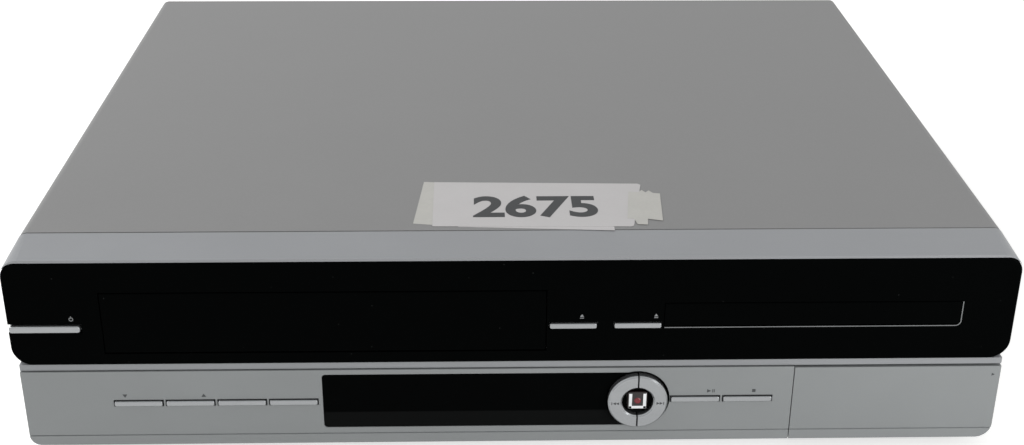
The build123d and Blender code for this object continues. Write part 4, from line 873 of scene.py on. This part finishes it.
class PLAYER_OT_tray_edge(bpy.types.Operator):
    """Lays a painted highlight, a light strip, along the bottom and the right of the tray's
    opening
    """

    bl_idname = "player.tray_edge"
    # the polished edge in this label is the painted highlight strip
    bl_label = "Polished edge of the tray opening"

    def execute(self, context):
        low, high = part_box("tray_bezel")
        left = low[0] / MM
        right = high[0] / MM + 0.75
        bottom = (low[2] - UNDERSIDE) / MM - 0.75
        top = (high[2] - UNDERSIDE) / MM
        turn = 2.5
        wide = 0.4
        proud = 0.06
        # polished bead of the moulding: brighter than the rest because it faces up
        # painted highlight: a lighter strip on the black moulding, standing in for the light its
        # upward-facing edge catches
        painted_highlight = make_surface(
            "tray_edge_painted_highlight", linear("747677"), drift_mm=20, drift=0.12, roughness=0.25,
            grain_mm=1.5, grain_depth_mm=0.001, metallic=0.6
        )
        mesh = bmesh.new()
        slab(mesh, (left, right - turn), (-proud, 0.05), (bottom, bottom + wide))
        slab(mesh, (right - wide, right), (-proud, 0.05), (bottom + turn, top))
        corner = at(right - turn, 0, bottom + turn)
        section = (
            at(right - wide, -proud, bottom + turn),
            at(right, -proud, bottom + turn),
            at(right, 0.05, bottom + turn),
            at(right - wide, 0.05, bottom + turn),
        )
        verts = [mesh.verts.new(point) for point in section]
        face = mesh.faces.new(verts)
        bmesh.ops.spin(
            mesh, geom=[face], cent=corner, axis=(0, 1, 0), angle=math.pi / 2, steps=10,
            use_duplicate=False
        )
        finish_piece("tray_opening_highlight", mesh, painted_highlight, "case")
        return {"FINISHED"}


class PLAYER_OT_screw_recesses(bpy.types.Operator):
    """Adds the look of a cross recess to each cover screw"""

    bl_idname = "player.screw_recesses"
    bl_label = "Screw recesses"

    def execute(self, context):
        # the unlit bottom of a cross recess in plated steel
        shade = make_surface(
            "recess_shadow", linear("2b2c2d"), drift_mm=2, drift=0.2, roughness=0.6, grain_mm=0.5,
            grain_depth_mm=0.01
        )

        def about(middle, half):
            """A span of one half to either side of its middle."""
            return (middle - half, middle + half)

        mesh = bmesh.new()
        for depth in SCREW_DEPTHS:
            for side in (-1, 1):
                outer = side * (COVER_SIDE + SCREW_HEAD)
                inner = side * (COVER_SIDE + SCREW_HEAD - RECESS_DEPTH)
                span = (min(outer, inner), max(outer, inner) + RECESS_PROUD)
                for wide, tall in ((RECESS_REACH, RECESS_HALF), (RECESS_HALF, RECESS_REACH)):
                    slab(mesh, span, about(depth, wide), about(SCREW_HEIGHT, tall))
        head = COVER_BACK + SCREW_HEAD
        for x in REAR_SCREW_XS:
            for wide, tall in ((RECESS_REACH, RECESS_HALF), (RECESS_HALF, RECESS_REACH)):
                slab(
                    mesh, about(x, wide), (head - RECESS_DEPTH, head + RECESS_PROUD),
                    about(REAR_SCREW_HEIGHT, tall)
                )
        finish_piece("screw_recesses", mesh, shade, "case")
        return {"FINISHED"}


class PLAYER_OT_rear_fittings(bpy.types.Operator):
    """Adds the coloured inserts, contacts and plain frames at the back"""

    bl_idname = "player.rear_fittings"
    bl_label = "Rear socket fittings"

    def execute(self, context):
        def dyed(name, code):
            """Dyed nylon insert, glossy from the mould."""
            return make_surface(
                name, linear(code), drift_mm=3, drift=0.08, roughness=0.3, grain_mm=0.8,
                grain_depth_mm=0.004
            )

        # dye, and the column and row of each insert in the block of phono sockets
        colours = {
            "white_nylon": ("d9d9d4", [(0, 1), (2, 1), (3, 1)]),
            "red_nylon": ("a3202a", [(0, 0), (2, 0), (3, 0), (1, 0)]),
            "yellow_nylon": ("d0ac1e", [(0, 2), (2, 2)]),
            "green_nylon": ("2c8a4b", [(1, 2)]),
            "blue_nylon": ("2b56a3", [(1, 1)]),
            "orange_nylon": ("c8661c", [(3, 2)]),
        }
        for name, (code, places) in colours.items():
            mesh = bmesh.new()
            for column, row in places:
                x = PHONO_X + (column - 1.5) * PHONO_PITCH
                height = PHONO_HEIGHT + (row - 1) * PHONO_RISE
                collar(mesh, at(x, 357.1, height), at(x, 357.6, height), 4.25, 5.2)
            finish_piece(name + "_inserts", mesh, dyed(name, code), "case")
        # thin gold plate on the wide sockets' contacts and the inlet's pins: warm and bright
        gold = make_surface(
            "plated_contacts", linear("c9a85a"), drift_mm=2, drift=0.08, roughness=0.3,
            grain_mm=0.6, grain_depth_mm=0.003, metallic=1.0
        )
        strips = bmesh.new()
        for height in WIDE_SOCKET_HEIGHTS:
            for rise, count in ((1.0, 11), (-1.0, 10)):
                for place in range(count):
                    x = WIDE_SOCKET_X + (place - (count - 1) / 2) * CONTACT_PITCH
                    outer = height + rise + math.copysign(CONTACT_THICK, rise)
                    span = sorted((height + rise, outer))
                    slab(strips, (x - 0.5, x + 0.5), (350.5, COVER_BACK), span)
        finish_piece("wide_socket_contacts", strips, gold, "case")
        pins = bmesh.new()
        for x in INLET_PIN_XS:
            root, tip = (at(x, depth, INLET_HEIGHT) for depth in INLET_PIN_DEPTHS)
            rod(pins, root, tip, 1.22, segments=24)
        finish_piece("inlet_pin_sleeves", pins, gold, "case")
        # white pad print on the zinc sheet, for plain frames round the socket groups
        print_white = make_surface(
            "white_pad_print", linear("d2d2ce"), drift_mm=6, drift=0.05, roughness=0.6,
            grain_mm=0.8, grain_depth_mm=0.003
        )
        frames = bmesh.new()
        for x, height in (
            ((113.5, 170.5), (15.5, 62.5)), ((39.0, 93.0), (16.5, 62.5)),
            ((-43.0, -25.0), (17.5, 58.5))
        ):
            back = (REAR_FACE, REAR_FACE + 0.04)
            slab(frames, x, back, (height[0], height[0] + FRAME_LINE))
            slab(frames, x, back, (height[1] - FRAME_LINE, height[1]))
            slab(frames, (x[0], x[0] + FRAME_LINE), back, height)
            slab(frames, (x[1] - FRAME_LINE, x[1]), back, height)
        finish_piece("rear_printed_frames", frames, print_white, "case")
        return {"FINISHED"}


class PLAYER_OT_feet(bpy.types.Operator):
    """Turns the four feet with their hollow undersides"""

    bl_idname = "player.feet"
    bl_label = "Feet"

    def execute(self, context):
        mesh = bmesh.new()
        for x in FOOT_XS:
            for depth in FOOT_DEPTHS:
                verts = [
                    mesh.verts.new(at(x + reach, depth, rise)) for reach, rise in FOOT_PROFILE
                ]
                edges = [mesh.edges.new(pair) for pair in zip(verts, verts[1:])]
                bmesh.ops.spin(
                    mesh,
                    geom=verts + edges,
                    cent=at(x, depth, 0),
                    axis=(0, 0, 1),
                    angle=math.tau,
                    steps=48,
                    use_merge=True,
                )
        feet = finish_piece(
            "turned_feet", mesh, bpy.data.materials["moulded_rubber"], "case"
        )
        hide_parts("feet")
        return {"FINISHED"}


class PLAYER_OT_drive_fittings(bpy.types.Operator):
    """Adds the lens, the disc's rubber ring, the magnet and the reel caps"""

    bl_idname = "player.drive_fittings"
    bl_label = "Drive and deck fittings"

    def execute(self, context):
        lean = math.asin(TRAVERSE_DROP / TRAVERSE_REACH)
        up = Vector((0, -math.sin(lean), math.cos(lean)))
        along = Vector((0, math.cos(lean), math.sin(lean)))
        pivot = at(TRAY_X, PIVOT_DEPTH, PIVOT_HEIGHT)

        def on_traverse(x, u, rise):
            """A point on the lowered traverse."""
            return pivot + Vector((x * MM, 0, 0)) + along * (u * MM) + up * (rise * MM)

        # coated acrylic lens: deep blue, mirror smooth
        glass = make_surface(
            "coated_lens", linear("27405c"), drift_mm=2, drift=0.3, roughness=0.05, grain_mm=2.0,
            grain_depth_mm=0.001, specular=0.8
        )
        lens = bmesh.new()
        rod(lens, on_traverse(0, -71, 9.45), on_traverse(0, -71, 9.9), 2.4, 1.6)
        finish_piece("pickup_lens", lens, glass, "pickup_sled")
        pad = bmesh.new()
        collar(
            pad, on_traverse(0, -TRAVERSE_REACH, 12.4), on_traverse(0, -TRAVERSE_REACH, 12.75),
            10.5, 14.4
        )
        finish_piece(
            "turntable_ring", pad, bpy.data.materials["moulded_rubber"], "turntable"
        )
        magnet = bmesh.new()
        collar(magnet, at(TRAY_X, WELL_DEPTH, 79.4), at(TRAY_X, WELL_DEPTH, 79.9), 4.0, 11.0)
        finish_piece(
            "clamp_steel_washer", magnet, bpy.data.materials["ground_steel"], "clamp_puck",
        )
        for side, body in ((-1, "supply_reel"), (1, "takeup_reel")):
            cap = bmesh.new()
            x = REEL_MIDDLE + side * REEL_OFFSET
            rod(cap, at(x, REEL_DEPTH, 43.2), at(x, REEL_DEPTH, 44.6), 4.2, 3.0)
            finish_piece(
                body + "_cap", cap, bpy.data.materials["natural_acetal"], body
            )
        return {"FINISHED"}


class PLAYER_OT_stage(bpy.types.Operator):
    """Sets the floor, the soft lamps, the white surround and the camera"""

    bl_idname = "player.stage"
    bl_label = "Studio stage"

    def execute(self, context):
        values = context.scene.player_stage
        scene = context.scene
        # matt painted floor: no shine, only a faint cloud of tone
        material, tree, shader = start_material("matt_studio_floor")
        place = add_node(tree, "ShaderNodeTexCoord").outputs["Object"]
        cloud = add_node(
            tree, "ShaderNodeTexNoise", values={"Scale": 3.0}, links={"Vector": place}
        ).outputs["Fac"]
        ramp = add_node(tree, "ShaderNodeValToRGB", links={"Fac": cloud})
        ramp.color_ramp.elements[0].color = tone(values.floor, 0.98)
        ramp.color_ramp.elements[1].color = tone(values.floor, 1.02)
        tree.links.new(ramp.outputs["Color"], shader.inputs["Base Color"])
        shader.inputs["Roughness"].default_value = 0.9
        shader.inputs["Specular IOR Level"].default_value = 0.0
        seen = straight_rays(tree)
        lift = add_node(tree, "ShaderNodeEmission", values={"Strength": 0.6})
        plain = add_node(tree, "ShaderNodeEmission", values={"Strength": 0.0})
        chosen = add_node(
            tree, "ShaderNodeMixShader", links={0: seen, 1: plain.outputs[0], 2: lift.outputs[0]}
        )
        total = add_node(
            tree, "ShaderNodeAddShader", links={0: shader.outputs["BSDF"], 1: chosen.outputs[0]}
        )
        output = next(item for item in tree.nodes if item.type == "OUTPUT_MATERIAL")
        tree.links.new(total.outputs[0], output.inputs["Surface"])
        mesh = bmesh.new()
        bmesh.ops.create_grid(mesh, x_segments=1, y_segments=1, size=6.0)
        data = bpy.data.meshes.new("studio_floor")
        mesh.to_mesh(data)
        mesh.free()
        floor = bpy.data.objects.new("studio_floor", data)
        scene.collection.objects.link(floor)
        data.materials.append(material)

        def lamp(name, place, aim, size, power):
            """A square soft lamp that points at a place."""
            light = bpy.data.lights.new(name, "AREA")
            light.shape = "SQUARE"
            light.size = size
            light.energy = power
            made = bpy.data.objects.new(name, light)
            made.location = place
            made.rotation_euler = (
                Vector(aim) - Vector(place)
            ).to_track_quat("-Z", "Y").to_euler()
            scene.collection.objects.link(made)

        lamp(
            "left_softbox", place=(-1.2, -0.1, 1.1), aim=(-0.15, -0.05, 0.05), size=1.1,
            power=15.0
        )
        lamp(
            "right_softbox", place=(0.62, -0.7, 0.22), aim=(0.16, -0.18, 0.03), size=0.45,
            power=3.0
        )
        world = bpy.data.worlds.new("pale_surround")
        world.use_nodes = True
        sky = world.node_tree
        sky.nodes.clear()
        seen = straight_rays(sky)
        white = add_node(
            sky, "ShaderNodeBackground", values={"Color": (1, 1, 1, 1), "Strength": 1.0}
        )
        soft = add_node(
            sky, "ShaderNodeBackground", values={"Color": (1, 1, 1, 1), "Strength": 0.46}
        )
        mixed = add_node(
            sky, "ShaderNodeMixShader", links={0: seen, 1: soft.outputs[0], 2: white.outputs[0]}
        )
        add_node(sky, "ShaderNodeOutputWorld", links={"Surface": mixed.outputs[0]})
        scene.world = world
        camera = bpy.data.cameras.new("viewpoint")
        camera.lens = values.lens
        camera.sensor_width = 36.0
        holder = bpy.data.objects.new("viewpoint", camera)
        forward = Vector(
            (
                math.sin(values.yaw) * math.cos(values.pitch),
                math.cos(values.yaw) * math.cos(values.pitch),
                -math.sin(values.pitch),
            )
        )
        level_right = Vector((math.cos(values.yaw), -math.sin(values.yaw), 0.0))
        upright = level_right.cross(forward)
        right = level_right * math.cos(values.roll) + upright * math.sin(values.roll)
        over = upright * math.cos(values.roll) - level_right * math.sin(values.roll)
        turn = Matrix((right, over, -forward)).transposed().to_4x4()
        holder.matrix_world = Matrix.Translation(CAMERA_PLACE) @ turn
        scene.collection.objects.link(holder)
        scene.camera = holder
        scene.view_settings.view_transform = "Standard"
        return {"FINISHED"}


STEPS = (
    PLAYER_OT_finishes,
    PLAYER_OT_taped_slip,
    PLAYER_OT_key_marks,
    PLAYER_OT_record_key,
    PLAYER_OT_tray_edge,
    PLAYER_OT_screw_recesses,
    PLAYER_OT_rear_fittings,
    PLAYER_OT_feet,
    PLAYER_OT_drive_fittings,
    PLAYER_OT_stage,
)
SETTINGS = {
    "player_finish": PlayerFinishSettings,
    "player_label": PlayerLabelSettings,
    "player_mark": PlayerMarkSettings,
    "player_stage": PlayerStageSettings,
}


class PLAYER_PT_panel(bpy.types.Panel):
    """Lists the player's steps in the sidebar"""

    bl_idname = "PLAYER_PT_panel"
    bl_label = "Player"
    bl_space_type = "VIEW_3D"
    bl_region_type = "UI"
    bl_category = "Player"

    def draw(self, context):
        for step in STEPS:
            self.layout.operator(step.bl_idname)


def register():
    """Registers the settings, the operators and the panel."""
    for name, group in SETTINGS.items():
        bpy.utils.register_class(group)
        setattr(bpy.types.Scene, name, bpy.props.PointerProperty(type=group))
    for step in STEPS:
        bpy.utils.register_class(step)
    bpy.utils.register_class(PLAYER_PT_panel)


def unregister():
    """Takes them all away again."""
    bpy.utils.unregister_class(PLAYER_PT_panel)
    for step in reversed(STEPS):
        bpy.utils.unregister_class(step)
    for name, group in SETTINGS.items():
        delattr(bpy.types.Scene, name)
        bpy.utils.unregister_class(group)


def main():
    """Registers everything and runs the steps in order."""
    register()
    bpy.ops.player.finishes()
    bpy.ops.player.taped_slip()
    bpy.ops.player.key_marks()
    bpy.ops.player.record_key()
    bpy.ops.player.tray_edge()
    bpy.ops.player.screw_recesses()
    bpy.ops.player.rear_fittings()
    bpy.ops.player.feet()
    bpy.ops.player.drive_fittings()
    bpy.ops.player.stage()


if __name__ == "__main__":
    main()
